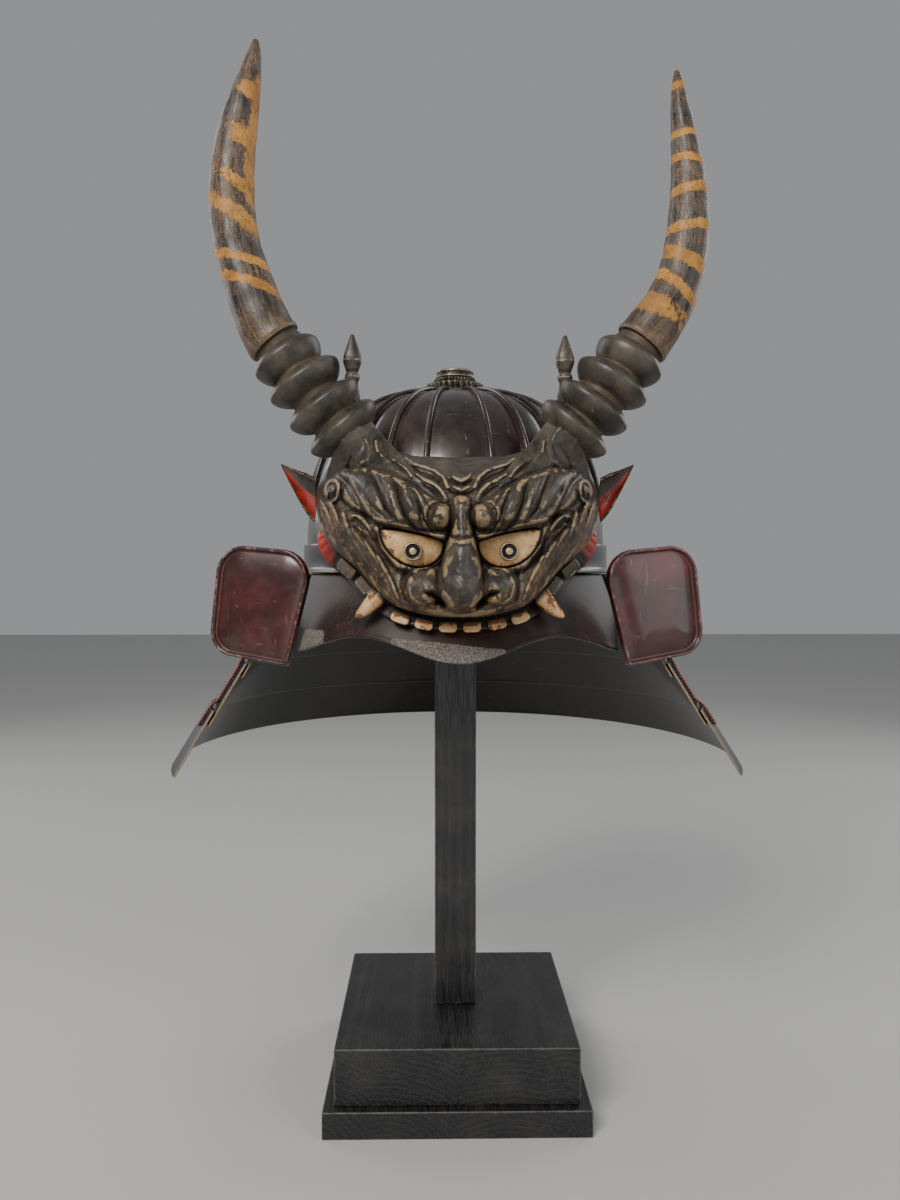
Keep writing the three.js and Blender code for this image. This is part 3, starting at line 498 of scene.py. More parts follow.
STAND = {"slab": 196, "slab_height": 20, "block": 180, "block_height": 42, "post": 33, "post_top": 499.7}
GAP = 0.3
half = STAND["slab"] / 2
slab = timber("base_slab_timber", (-half, -half, 0), (half, half, STAND["slab_height"]), 1.0, 9)
dress(slab, base_wood, "stand_wood", "base_slab")
half = STAND["block"] / 2
foot, head = STAND["slab_height"] + GAP, STAND["slab_height"] + STAND["block_height"]
block = timber("base_block_timber", (-half, -half, foot), (half, half, head), 1.1, 9)
dress(block, base_wood, "stand_wood", "base_block")
half = STAND["post"] / 2
post = timber("post_timber", (-half, -half, head + GAP), (half, half, STAND["post_top"]), 0.8, 9)
dress(post, post_wood, "stand_wood", "post")

# %% [markdown]
# ## The bowl and its ribs
# The bowl is built from twenty-four plates, riveted edge to edge, and each seam is covered by
# a standing rib. One lathed dome would lose the plates. Here the dome is a grid that follows
# the bowl's own rule, with each plate a little hollowed, and a geometry node tree lays a round
# rib along every seam, thinner towards the crown.

# %% The rule of the bowl
BOWL = {"rim": 408, "width": 119, "depth": 130, "height": 143, "power": 2.85, "wall": 1.8}
PLATES, FRONT_PLATE = 24, math.radians(11.6)
RIB_ANGLES = FRONT_PLATE + np.arange(PLATES) * (TURN - 2 * FRONT_PLATE) / (PLATES - 1)


def bowl_point(angle, rise, offset):
    angle, rise = np.broadcast_arrays(angle, rise)
    ring = np.cos(rise * math.pi / 2) ** (2 / BOWL["power"])
    lift = np.sin(rise * math.pi / 2) ** (2 / BOWL["power"])
    return np.stack([
        (BOWL["width"] + offset) * ring * np.sin(angle),
        -(BOWL["depth"] + offset) * ring * np.cos(angle),
        BOWL["rim"] + (BOWL["height"] + offset) * lift,
    ], -1)


def lines(name, paths, painted_on=None):
    """Loose edges through rows of points, for a geometry node tree to follow."""
    points = np.concatenate(paths) * MM
    edges, start = [], 0
    for path in paths:
        edges += [(start + i, start + i + 1) for i in range(len(path) - 1)]
        start += len(path)
    mesh = bpy.data.meshes.new(name)
    mesh.from_pydata(points.tolist(), edges, [])
    for label, values in (painted_on or {}).items():
        layer = mesh.attributes.new(label, "FLOAT_VECTOR", "POINT")
        layer.data.foreach_set("vector", np.concatenate(values).reshape(-1))
    piece = bpy.data.objects.new(name, mesh)
    bpy.context.scene.collection.objects.link(piece)
    return piece


# %% Open a geometry tree, and bake what it grows
def open_tree(name, inputs):
    tree = bpy.data.node_groups.new(name, "GeometryNodeTree")
    tree.interface.new_socket("Geometry", in_out="INPUT", socket_type="NodeSocketGeometry")
    for label, kind, value in inputs:
        socket = tree.interface.new_socket(label, in_out="INPUT", socket_type="NodeSocket" + kind)
        if value is not None:
            socket.default_value = value
    tree.interface.new_socket("Geometry", in_out="OUTPUT", socket_type="NodeSocketGeometry")
    return tree, tree.nodes.new("NodeGroupInput").outputs


def close_tree(tree, geometry, material):
    real = node(tree, "GeometryNodeRealizeInstances", {0: geometry})
    smooth = node(tree, "GeometryNodeSetShadeSmooth", {0: real})
    finished = node(tree, "GeometryNodeSetMaterial", {0: smooth, "Material": material})
    plug(tree, tree.nodes.new("NodeGroupOutput").inputs[0], finished)


def grow(piece, tree, **sizes):
    modifier = piece.modifiers.new(tree.name, "NODES")
    modifier.node_group = tree
    for item in tree.interface.items_tree:
        label = item.name.lower().replace(" ", "_")
        if item.item_type == "SOCKET" and item.in_out == "INPUT" and label in sizes:
            modifier[item.identifier] = sizes[label]
    graph = bpy.context.evaluated_depsgraph_get()
    baked = bpy.data.meshes.new_from_object(piece.evaluated_get(graph), depsgraph=graph)
    piece.modifiers.remove(modifier)
    piece.data = baked
    print(piece.name, "grew", len(baked.polygons), "faces from", tree.name)
    return piece


# %% Lacquer: a deep colour under a clear, slightly hazed coat
def lacquer_finish(name, deep, warm, worn, dust, haze, wear=0.35, rough=0.3, scratch=0.3, gloss=0.5):
    material, tree, shader = new_material(name, coat=gloss, coat_roughness=0.12, specular=0.5)
    here = object_place(tree)
    tone = between(tree, noise(tree, here, 26.0, 6, 0.62), 0.35, 0.7)
    rubbed = place_group(tree, worn_edge, Place=here, Edge=painted(tree, "edge"), Amount=wear, Scale=210.0)
    grime = place_group(
        tree, dusty, Place=here, Hollow=painted(tree, "hollow"), Haze=haze, Specks=0.55, Scale=55.0)
    marks = place_group(tree, scratched, Place=here, Amount=scratch, Scale=34.0)
    colour = blend_colour(tree, tone, paint(deep), paint(warm))
    colour = blend_colour(tree, grime.outputs["Mask"], colour, paint(dust))
    colour = blend_colour(tree, marks.outputs["Mask"], colour, paint(dust))
    colour = blend_colour(tree, rubbed.outputs["Mask"], colour, paint(worn))
    plug(tree, shader["Base Color"], colour)
    dull = plus(tree, grime.outputs["Mask"], rubbed.outputs["Mask"], clamp=True)
    plug(tree, shader["Roughness"], plus(tree, rough, times(tree, dull, 0.4)))
    plug(tree, shader["Coat Weight"], minus(tree, gloss, times(tree, dull, gloss), clamp=True))
    ripple = noise(tree, here, 90.0, 3)
    level = minus(tree, ripple, rubbed.outputs["Mask"])
    plug(tree, shader["Normal"], bump(tree, level, 0.22, 0.0004))
    return material


bowl_lacquer = lacquer_finish("bowl lacquer", "150c0b", "2c1a18", "8c8076", "8a7a6c", 0.10)
print("material:", bowl_lacquer.name)

# %% Raise the plates of the bowl
columns = []
for i, angle in enumerate(RIB_ANGLES):
    following = RIB_ANGLES[i + 1] if i + 1 < PLATES else RIB_ANGLES[0] + TURN
    columns += list(np.linspace(angle, following, 20, endpoint=False))
columns = np.array(columns)
far = np.abs((columns[:, None] - RIB_ANGLES[None] + math.pi) % TURN - math.pi).min(1)
rises = (np.linspace(0, 1, 84) ** 1.35) * 0.982
ring_size = np.linalg.norm(bowl_point(columns[None], rises[:, None], 0)[..., :2], axis=-1)
to_rib = far[None] * ring_size
hollow = 0.9 * np.minimum(1, ring_size / 90) * soft_step(to_rib, 1, 11) - 0.5 * np.minimum(1, ring_size / 60)
hollow *= soft_step(rises, 0.17, 0.24)[:, None]
outer = bowl_point(columns[None], rises[:, None], 0.0)
outer += (outer - np.array([0, 0, 430])) / np.linalg.norm(
    outer - np.array([0, 0, 430]), axis=-1, keepdims=True) * (hollow[..., None] - 0.4)
inner = bowl_point(columns[None], rises[:, None], -BOWL["wall"])
inner[0, :, 2] = outer[0, :, 2]
seam = np.exp(-np.maximum(to_rib - 1.6, 0) / 1.1)
bowl_shell = sheet("bowl_plates", outer, inner, {
    "hollow": (seam * 2.2, seam * 0), "edge": (seam * 0.0, seam * 0),
}, around=True)
dress(bowl_shell, bowl_lacquer, "bowl_lacquer", "bowl")

# %% Grow a rib along every seam
rib_tree, given = open_tree("standing ribs", [
    ("Rib radius", "Float", 0.0019), ("Sides", "Int", 10), ("Crown share", "Float", 0.55),
])
curves = node(rib_tree, "GeometryNodeMeshToCurve", {0: given[0]})
along = node(rib_tree, "GeometryNodeSplineParameter").outputs["Factor"]
taper = node(rib_tree, "ShaderNodeMapRange", {
    "Value": along, "From Min": 0.35, "From Max": 1.0, "To Min": 1.0, "To Max": given["Crown share"]})
sized = node(rib_tree, "GeometryNodeSetCurveRadius", {0: curves, "Radius": taper})
round_bar = node(rib_tree, "GeometryNodeCurvePrimitiveCircle", {
    "Resolution": given["Sides"], "Radius": given["Rib radius"]})
bars = node(rib_tree, "GeometryNodeCurveToMesh", {0: sized, 1: round_bar})
for socket in bars.inputs:
    if socket.name == "Fill Caps":
        socket.default_value = True
    if socket.name == "Scale":
        plug(rib_tree, socket, taper)
close_tree(rib_tree, bars, bowl_lacquer)

crown_rise = 2 / math.pi * math.acos((27 / 124.5) ** (BOWL["power"] / 2))
rib_rises = np.linspace(0.165, crown_rise, 60)
rib_paths = [bowl_point(angle, rib_rises, 1.0) for angle in RIB_ANGLES]
ribs = grow(lines("bowl_ribs", rib_paths), rib_tree, rib_radius=0.0019, sides=10, crown_share=0.62)
dress(ribs, bowl_lacquer, "bowl_lacquer")

# %% Roll the band round the foot of the bowl
BAND = [
    (0.6, 408), (5.4, 408), (6.0, 408.3), (6.2, 408.9), (6.0, 409.5), (5.2, 409.8), (3.4, 410.1),
    (2.6, 410.9), (2.2, 412.4), (2.2, 420), (2.2, 428.6), (2.1, 429.4), (1.6, 429.9), (1.2, 430), (0.6, 430),
]
around = np.linspace(0, TURN, 260, endpoint=False)
rings = np.array([[
    ((BOWL["width"] + o) * math.sin(a), -(BOWL["depth"] + o) * math.cos(a), z)
    for o, z in BAND] for a in around])
lip = np.array([max(math.exp(-abs(o - 6.2) / 0.7), 0.8 * math.exp(-abs(z - 430) / 0.5)) for o, z in BAND])
band = build(
    "hip_band_rolled", rings, grid_faces(len(around), len(BAND), around=True, ring=True),
    {"edge": np.tile(lip, len(around)),
     "hollow": np.tile([0.6 if 409.8 < z < 412 else 0 for o, z in BAND], len(around))},
)
dress(band, bowl_lacquer, "bowl_lacquer", "hip_band")

# %% Turn the rest inside the bowl
rest = [np.zeros((48, 3))]
turn = np.linspace(0, TURN, 48, endpoint=False)
rest = [np.stack([r * np.sin(turn), -r * np.cos(turn), 0 * turn + z], -1) for r, z in (
    (38, 500), (45, 500), (46, 501))]
rest += [bowl_point(turn, rise, -3.4) for rise in (0.8, 0.84, 0.88, 0.92, 0.95)]
dress(tube("rest_block_turned", rest, {"edge": np.zeros((8, 48))}), post_wood, "stand_wood", "rest_block")

# %% [markdown]
# ## The crown fitting
# A stack of brass tiers closes the seams at the top: a plate, a ring of upright petals, a
# milled bead and a plain collar round the open crown. The plain tiers are turned shapes. The
# petals and beads repeat, so one of each is modelled and a geometry node tree sets them round
# a circle, which keeps their count and radius easy to change.

# %% Aged brass
brass, tree, shader = new_material("aged brass", metallic=0.85, specular=0.5)
here = object_place(tree)
patina = between(tree, noise(tree, here, 240.0, 6, 0.65), 0.38, 0.68)
grime = place_group(tree, dusty, Place=here, Hollow=painted(tree, "hollow"), Haze=0.35, Specks=0.2,
    Scale=160.0)
colour = blend_colour(tree, patina, paint("5c584c"), paint("2a2823"))
colour = blend_colour(tree, grime.outputs["Mask"], colour, paint("1a1713"))
rubbed = place_group(tree, worn_edge, Place=here, Edge=painted(tree, "edge"), Amount=0.5, Scale=400.0)
plug(tree, shader["Base Color"], blend_colour(tree, rubbed.outputs["Mask"], colour, paint("928c78")))
plug(tree, shader["Metallic"], minus(tree, 0.9, times(tree, grime.outputs["Mask"], 0.6)))
plug(tree, shader["Roughness"], plus(tree, 0.36, times(tree, patina, 0.22)))
plug(tree, shader["Normal"], bump(tree, patina, 0.25, 0.0002))
print("material:", brass.name)


# %% Turn a piece from a closed section of radius and height
def turned(name, section, count=96, hollow=None, edge=None):
    turn = np.linspace(0, TURN, count, endpoint=False)
    rings = np.array([[(r * math.sin(a), -r * math.cos(a), z) for r, z in section] for a in turn])
    zero = [0.0] * len(section)
    return build(name, rings, grid_faces(count, len(section), around=True, ring=True), {
        "hollow": np.tile(hollow or zero, count), "edge": np.tile(edge or zero, count)})


plate = turned("crown_plate_turned", [
    (10, 551.7), (24.2, 551.7), (24.8, 551.9), (25, 552.3), (24.7, 552.8), (24, 553.1), (22.9, 553.2),
    (22, 553.2), (10, 553.2)], edge=[0, 0, .5, 1, .9, .3, 0, 0, 0], hollow=[0, 0, 0, 0, 0, 0, .6, 1, 0])
dress(plate, brass, "aged_brass", "crown_plate")
collar = turned("crown_collar_turned", [
    (10, 564.8), (15.2, 564.8), (15.6, 565.4), (15.4, 566.4), (14.6, 567), (14.5, 568), (15, 569),
    (15.1, 570), (14.6, 570.8), (13.6, 571), (12.4, 570.8), (11.4, 570), (10.4, 569.4), (10, 568.6)],
    edge=[0, .3, .8, .4, 0, 0, .3, .8, 1, .8, .3, 0, 0, 0],
    hollow=[0, 0, 0, 0, 1, .9, 0, 0, 0, 0, 0, .4, .6, .8])
dress(collar, brass, "aged_brass", "crown_collar")

# %% Set petals and beads round a circle
circle_tree, given = open_tree("set round a circle", [
    ("Count", "Int", 14), ("Radius", "Float", 0.02), ("Height", "Float", 0.55),
])
points = node(circle_tree, "GeometryNodeMeshLine", {"Count": given["Count"], "Offset": (0, 0, 0)})
step = sums(circle_tree, "DIVIDE", TURN, given["Count"])
angle = sums(circle_tree, "MULTIPLY", node(circle_tree, "GeometryNodeInputIndex"), step)
place = node(circle_tree, "ShaderNodeCombineXYZ", {
    0: sums(circle_tree, "MULTIPLY", sums(circle_tree, "SINE", angle), given["Radius"]),
    1: sums(circle_tree, "MULTIPLY", sums(circle_tree, "COSINE", angle), sums(
        circle_tree, "MULTIPLY", given["Radius"], -1.0)),
    2: given["Height"],
})
spread = node(circle_tree, "GeometryNodeSetPosition", {0: points, "Position": place})
facing = node(circle_tree, "ShaderNodeCombineXYZ", {2: angle})
copies = node(circle_tree, "GeometryNodeInstanceOnPoints", {
    "Points": spread, "Instance": given[0], "Rotation": facing})
close_tree(circle_tree, copies, brass)


def pebble(name, profile, sides, squash=(1, 1), lean=0.0):
    """A small closed form: radius and height, flattened across and leaning to one side."""
    turn = np.linspace(0, TURN, sides, endpoint=False)
    rings = [np.stack([
        r * np.cos(turn) * squash[0] + lean * z, r * np.sin(turn) * squash[1], 0 * turn + z], -1)
        for r, z in profile]
    high = np.array([[abs(z) for _ in turn] for r, z in profile])
    return tube(name, rings, {"edge": soft_step(high, 1.5, 3) * 0.7, "hollow": soft_step(high, 3, 0) * 0.2},
        80)


petal = pebble("crown_petals_set", [
    (0.3, -3.2), (1.9, -3.2), (2.3, -2.6), (2.5, 0), (2.7, 2.0), (2.5, 2.8), (1.7, 3.2), (0.3, 3.25)], 16,
    (1, 1.0))
petal = grow(petal, circle_tree, count=28, radius=0.0205, height=0.55675)
dress(petal, brass, "aged_brass", "crown_petals")
bead = pebble("crown_beads_set", [
    (0.2, -2.0), (1.1, -1.8), (1.7, -1.0), (1.9, 0), (1.7, 1.0), (1.1, 1.8), (0.2, 2.0)], 12, (0.75, 1.0),
    0.35)
bead = grow(bead, circle_tree, count=40, radius=0.0155, height=0.5624)
dress(bead, brass, "aged_brass", "crown_beads")
core = turned("crown_core_turned", [(10, 553.3), (20.6, 553.3), (20.9, 556), (20.9, 559), (20, 560),
    (15.6, 560.3),
    (15.6, 564.4), (10, 564.4)], hollow=[0, .7, .7, .6, .7, 1, 1, 0])
dress(core, brass, "aged_brass")

# %% [markdown]
# ## The peak
# The peak hangs from the rim, one bent plate with a waved lower edge. Its middle lobe has been
# rubbed down to grey undercoat, and one corner too. Those patches could be an image, but a
# number painted on the points says where the lacquer is thin, and the shader's own noise gives
# the patch its ragged edge.

# %% The rule of the peak
PEAK = {"top": 407.5, "width": 122, "depth": 132.5, "bulge": 3, "wall": 2.4, "reach": 61.3}
PEAK_EDGE = {"width": 130, "depth": 135, "back": -30, "level": 357, "wave": 8, "period": 131}


def peak_point(turn, drop, offset):
    turn, drop = np.broadcast_arrays(turn, drop)
    s, c = np.sin(turn), np.cos(turn)
    low_x = PEAK_EDGE["width"] * s
    low_z = PEAK_EDGE["level"] - PEAK_EDGE["wave"] * np.cos(TURN * low_x / PEAK_EDGE["period"])
    push = PEAK["bulge"] * np.sin(math.pi * drop) + offset
    x = mix(PEAK["width"] * s, low_x, drop) + s * push
    y = mix(-PEAK["depth"] * c, PEAK_EDGE["back"] - PEAK_EDGE["depth"] * c, drop) - c * push
    return np.stack([x, y, mix(PEAK["top"], low_z, drop)], -1)


def eased(far, half):
    """Half the thickness of a plate near its edge, so that the edge is round."""
    near = np.clip(far / half, 0, 1)
    return half * np.sqrt(np.maximum(1 - (1 - near) ** 2, 0.0025))


# %% Bend the peak
def edge_steps(length, radius, count):
    near = np.array([0, 0.06, 0.25, 0.6, 1.0]) * radius
    middle = np.linspace(near[-1], length - near[-1], count)[1:-1]
    return np.concatenate([near, middle, (length - near)[::-1]]) / length


turns = np.radians(mix(-PEAK["reach"], PEAK["reach"], edge_steps(290, 1.2, 230)))
drops = edge_steps(56, 1.2, 40)
T, D = np.meshgrid(turns, drops, indexing="xy")
half_wall = np.minimum(eased(D * 56, 1.2), eased((1 - D) * 56, 1.2))
half_wall = np.minimum(half_wall, eased((math.radians(PEAK["reach"]) - np.abs(T)) * 135, 1.2))
rim = np.exp(-(((1 - D) * 56 - 2.0) / 1.1) ** 2) * 0.5
middle = peak_point(T, D, 0 * T)
x, z = middle[..., 0], middle[..., 2]
lobe_slope = 0.1 * (-x - 10)
lobe = soft_step(x, -48, -40) * soft_step(x, 33, 26) * soft_step(z, 364 + lobe_slope, 360 + lobe_slope)
corner = soft_step(x, -86, -96) * soft_step(z, 372, 366) * 0.9
line = np.exp(-(1 - D) * 56 / 1.0) * 0.8
worn = np.clip(np.maximum(np.maximum(lobe, corner), line), 0, 1)
zero = worn * 0
peak = sheet(
    "peak_plate", peak_point(T, D, half_wall + rim), peak_point(T, D, -half_wall),
    {"bare": (worn, zero), "edge": (line, line), "hollow": (zero, zero)},
)

# %% Peak lacquer, rubbed through to its grey undercoat
peak_lacquer, tree, shader = new_material("peak lacquer", coat=0.1, coat_roughness=0.3, specular=0.25)
here = object_place(tree)
grain = noise(tree, here, 900.0, 5, 0.7)
patch = noise(tree, here, 120.0, 6, 0.7)
bare = between(tree, plus(tree, painted(tree, "bare"), times(
    tree, minus(tree, patch, 0.5), 0.9)), 0.42, 0.55)
grey = blend_colour(tree, between(tree, grain, 0.35, 0.7), paint("3c3835"), paint("857d74"))
tone = between(tree, noise(tree, here, 22.0, 6, 0.6), 0.4, 0.65)
dark = blend_colour(tree, tone, paint("170e0d"), paint("2b1817"))
grime = place_group(tree, dusty, Place=here, Hollow=0.0, Haze=0.12, Specks=0.8, Scale=70.0)
dark = blend_colour(tree, grime.outputs["Mask"], dark, paint("6d5a4e"))
cracks = place_group(tree, crackled, Place=here, Scale=90.0, Width=0.018)
crack_zone = between(tree, noise(tree, here, 28.0, 2), 0.52, 0.62)
broken = times(tree, cracks.outputs["Mask"], crack_zone)
dark = blend_colour(tree, broken, dark, paint("4e3528"))
plug(tree, shader["Base Color"], blend_colour(tree, bare, dark, grey))
plug(tree, shader["Roughness"], plus(tree, 0.48, times(tree, bare, 0.3)))
plug(tree, shader["Coat Weight"], minus(tree, 0.1, times(tree, bare, 0.1), clamp=True))
level = minus(tree, times(tree, grain, times(tree, bare, 0.6)), plus(
    tree, times(tree, bare, 0.7), broken))
plug(tree, shader["Normal"], bump(tree, level, 0.5, 0.0004))
dress(peak, peak_lacquer, "bowl_lacquer", "peak")

# %% [markdown]
# ## The neck guard
# Four lacquered strips, called lames, hang below the rim, each lapping the one above, so that
# the guard can close up and swing. They are thin sheets swept round one flared surface. The
# head of each strip leans out and its foot leans in, which is what lets them slide, so the
# same small lean is kept here.

# %% The rule of the neck guard
GUARD = {
    "top": 407.5, "drop": 138.5, "width": 121, "depth": 132, "more_width": 91, "more_depth": 98,
    "forward": 40, "front": 56, "more_front": 74, "wall": 1.8, "lean": 2,
}
LAMES, LAME_STEP, LAME_SHARE = 4, 0.232, 0.304


def guard_point(sweep, drop, offset):
    sweep, drop, offset = np.broadcast_arrays(sweep, drop, offset)
    centre = -GUARD["forward"] * drop
    width = GUARD["width"] + GUARD["more_width"] * drop
    depth = GUARD["depth"] + GUARD["more_depth"] * drop
    front = -(GUARD["front"] + GUARD["more_front"] * drop)
    turn = sweep * np.arccos((front - centre) / depth)
    out = np.stack([np.sin(turn) / width, np.cos(turn) / depth, 0 * turn], -1)
    out /= np.linalg.norm(out, axis=-1, keepdims=True)
    base = np.stack([
        width * np.sin(turn), centre + depth * np.cos(turn), GUARD["top"] - GUARD["drop"] * drop], -1)
    return base + out * offset[..., None]


def lame_offset(lame, drop):
    return mix(GUARD["lean"], -GUARD["lean"], (drop - lame * LAME_STEP) / LAME_SHARE)


# %% Roll the lames
black_lacquer = lacquer_finish(
    "guard lacquer", "080606", "150f0d", "7d6a4e", "4f463e", 0.10, wear=0.4, rough=0.34, gloss=0.22)
for lame in range(LAMES):
    head = lame * LAME_STEP
    length = GUARD["drop"] * LAME_SHARE * 1.2
    drops = head + LAME_SHARE * edge_steps(length, 0.9, 16)
    sweeps = mix(-1, 1, edge_steps(560, 0.9, 200))
    S, D = np.meshgrid(sweeps, drops, indexing="xy")
    share = (D - head) / LAME_SHARE
    far = np.minimum(np.minimum(share, 1 - share) * length, (1 - np.abs(S)) * 280)
    wall = eased(far, GUARD["wall"] / 2)
    lip = np.exp(-far / 0.8)
    lean = lame_offset(lame, D)
    strip = sheet(f"lame_{lame + 1}_strip", guard_point(S, D, lean + wall), guard_point(S, D, lean - wall), {
        "edge": (lip, lip), "hollow": (soft_step(share, 0.1, 0.0) * 0.8, lip * 0)})
    dress(strip, black_lacquer, "black_lacquer", f"lame_{lame + 1}")

# %% [markdown]
# ## Silk lacing
# Flat silk braids run down the outside and carry the lames. A braid drawn as a plain ribbon
# looks like tape. Real braid is two rows of slanting stitches that meet in a V, so one small
# row of stitches is modelled, and a geometry node tree repeats it along each braid's path,
# turned to the path and to the surface under it.

# %% Faded red silk
silk, tree, shader = new_material("faded silk", roughness=0.85, specular=0.3)
shader["Sheen Weight"].default_value = 0.35
shader["Sheen Roughness"].default_value = 0.4
here = object_place(tree)
fade = between(tree, noise(tree, here, 45.0, 5, 0.6), 0.35, 0.7)
thread = noise(tree, stretch(tree, here, (1.0, 1.0, 0.4)), 2600.0, 2)
colour = blend_colour(tree, fade, paint("5e2424"), paint("8f4f4c"))
colour = blend_colour(tree, times(tree, thread, 0.5), colour, paint("a97771"))
grime = place_group(tree, dusty, Place=here, Hollow=0.0, Haze=0.22, Specks=0.2, Scale=90.0)
plug(tree, shader["Base Color"], blend_colour(tree, grime.outputs["Mask"], colour, paint("5b4a40")))
plug(tree, shader["Normal"], bump(tree, thread, 0.4, 0.0002))
print("material:", silk.name)

# %% Grow the braids along their paths
braid_tree, given = open_tree("braided lacing", [("Spacing", "Float", 0.0026), ("Stitch", "Object", None)])
curves = node(braid_tree, "GeometryNodeMeshToCurve", {0: given[0]})
spaced = node(braid_tree, "GeometryNodeResampleCurve", {0: curves})
for socket in spaced.inputs:
    if socket.name == "Mode":
        socket.default_value = "Length"
if hasattr(spaced, "mode"):
    spaced.mode = "LENGTH"
plug(braid_tree, spaced.inputs["Length"], given["Spacing"])
outward = node(braid_tree, "GeometryNodeInputNamedAttribute", {"Name": "outward"}, data_type="FLOAT_VECTOR")
turned_to = node(braid_tree, "FunctionNodeAxesToRotation", {
    0: outward.outputs[0], 1: node(braid_tree, "GeometryNodeInputTangent")},
    primary_axis="Z", secondary_axis="Y")
stitch_row = node(braid_tree, "GeometryNodeObjectInfo", {"Object": given["Stitch"]})
rows = node(braid_tree, "GeometryNodeInstanceOnPoints", {
    "Points": spaced, "Instance": stitch_row.outputs["Geometry"], "Rotation": turned_to})
close_tree(braid_tree, rows, silk)


def stitch_rows(name, lanes, size, slant, sides=6):
    """One row of a braid: an egg for each lane, leaning left and right in turn."""
    points, faces = [], []
    turn = np.linspace(0, TURN, sides, endpoint=False)
    for lane, way in lanes:
        rings = [np.stack([
            r * size[0] * np.cos(turn), 0 * turn + s * size[1], r * size[2] * np.sin(turn)], -1)
            for s, r in ((-1, 0.15), (-0.6, 0.75), (0.0, 1), (0.6, 0.75), (1, 0.15))]
        rings = np.array(rings)
        c, s = math.cos(way * slant), math.sin(way * slant)
        x, y = rings[..., 0] * c - rings[..., 1] * s, rings[..., 0] * s + rings[..., 1] * c
        rings = np.stack([x + lane, y, rings[..., 2] + size[2] * 0.9], -1)
        start = len(points)
        points += rings.reshape(-1, 3).tolist() + [rings[0].mean(0).tolist(), rings[-1].mean(0).tolist()]
        faces += grid_faces(5, sides, around=True, start=start)
        faces += fan_faces(start, sides, start + 5 * sides, True)
        faces += fan_faces(start + 4 * sides, sides, start + 5 * sides + 1, False)
    return build(name, points, faces, sharp=180)


row = stitch_rows("stitch_row", [(-4.75, 1), (-2.05, -1), (2.05, 1), (4.75, -1)], (1.0, 1.9, 0.95), 0.75)
clear = GUARD["wall"] / 2 + GAP
STATIONS = [0.09, 0.28, 0.5, 0.72, 0.965]
path = [(0.17, lame_offset(0, 0.17) + clear)]
for lame in range(1, LAMES):
    head = lame * LAME_STEP
    path += [(head - 0.035, lame_offset(lame - 1, head - 0.035) + clear),
        (head - 0.012, GUARD["lean"] + clear),
             (head + 0.01, GUARD["lean"] + clear)]
path.append(((LAMES - 1) * LAME_STEP + 0.07,
    lame_offset(LAMES - 1, (LAMES - 1) * LAME_STEP + 0.07) + clear + 0.2))
drops, offsets = np.array(path).T
fine = np.linspace(drops[0], drops[-1], 90)
fine_offset = np.interp(fine, drops, offsets)
for n, station in enumerate([-s for s in reversed(STATIONS)] + STATIONS):
    middle = guard_point(station, fine, fine_offset + 0.2)
    out = guard_point(station, fine, fine_offset + 1.2) - middle
    down = np.gradient(middle, axis=0)
    out -= down * (np.sum(out * down, -1, keepdims=True) / np.sum(down * down, -1, keepdims=True))
    braid = lines(f"lacing_{n + 1}_braid", [middle], {"outward": [out]})
    grow(braid, braid_tree, spacing=0.0024, stitch=row)
    dress(braid, silk, "silk", f"lacing_{n + 1}")
bpy.data.objects.remove(row)

# %% [markdown]
# ## The turn-backs
# The ends of the top lame are turned back beside the face. On this helmet each is a red
# lacquered plate, domed, with a raised rim and a groove inside it. The plate could be a
# rounded box, but its light comes from the slow dome, so it is drawn as rings that shrink
# from the outline to the middle, each at its own height.

# %% Red lacquer with a hazed surface
red_lacquer = lacquer_finish(
    "red lacquer", "2b0b0c", "521a1e", "7d6452", "6b524b", 0.20, wear=0.28, rough=0.3, scratch=0.5, gloss=0.4)
TURNBACK = {"thickness": 2, "rim": 3.2, "rim_height": 3, "dome": 3, "yaw": 18, "foot": (121, -101.5, 343)}
TURNBACK_CORNERS = [(-2, -1, 3), (60, 8, 18), (51, 86, 21), (-24, 79, 21)]


def turnback_outline(inset, pieces=16, sides=16):
    corners = [np.array(c[:2], float) for c in TURNBACK_CORNERS]
    points = []
    for i, corner in enumerate(corners):
        before, after = corners[i - 1] - corner, corners[(i + 1) % 4] - corner
        before, after = before / np.linalg.norm(before), after / np.linalg.norm(after)
        half = math.acos(before @ after) / 2
        radius = TURNBACK_CORNERS[i][2]
        inward = (before + after) / np.linalg.norm(before + after)
        centre = corner + inward * radius / math.sin(half)
        start = math.atan2(-before[0], before[1])
        sweep = (math.atan2(after[0], -after[1]) - start) % TURN
        reach = max(radius - inset, 0.4)
        centre = centre + inward * (max(inset - radius + 0.4, 0) / math.sin(half))
        turn = start - math.pi + sweep * np.linspace(0, 1, pieces)
        points.append(centre + reach * np.stack([np.cos(turn), np.sin(turn)], -1))
    loop = []
    for i, arc in enumerate(points):
        following = points[(i + 1) % 4][0]
        share = np.linspace(0, 1, sides)[1:-1, None]
        loop += [arc, arc[-1] + (following - arc[-1]) * share]
    return np.concatenate(loop)


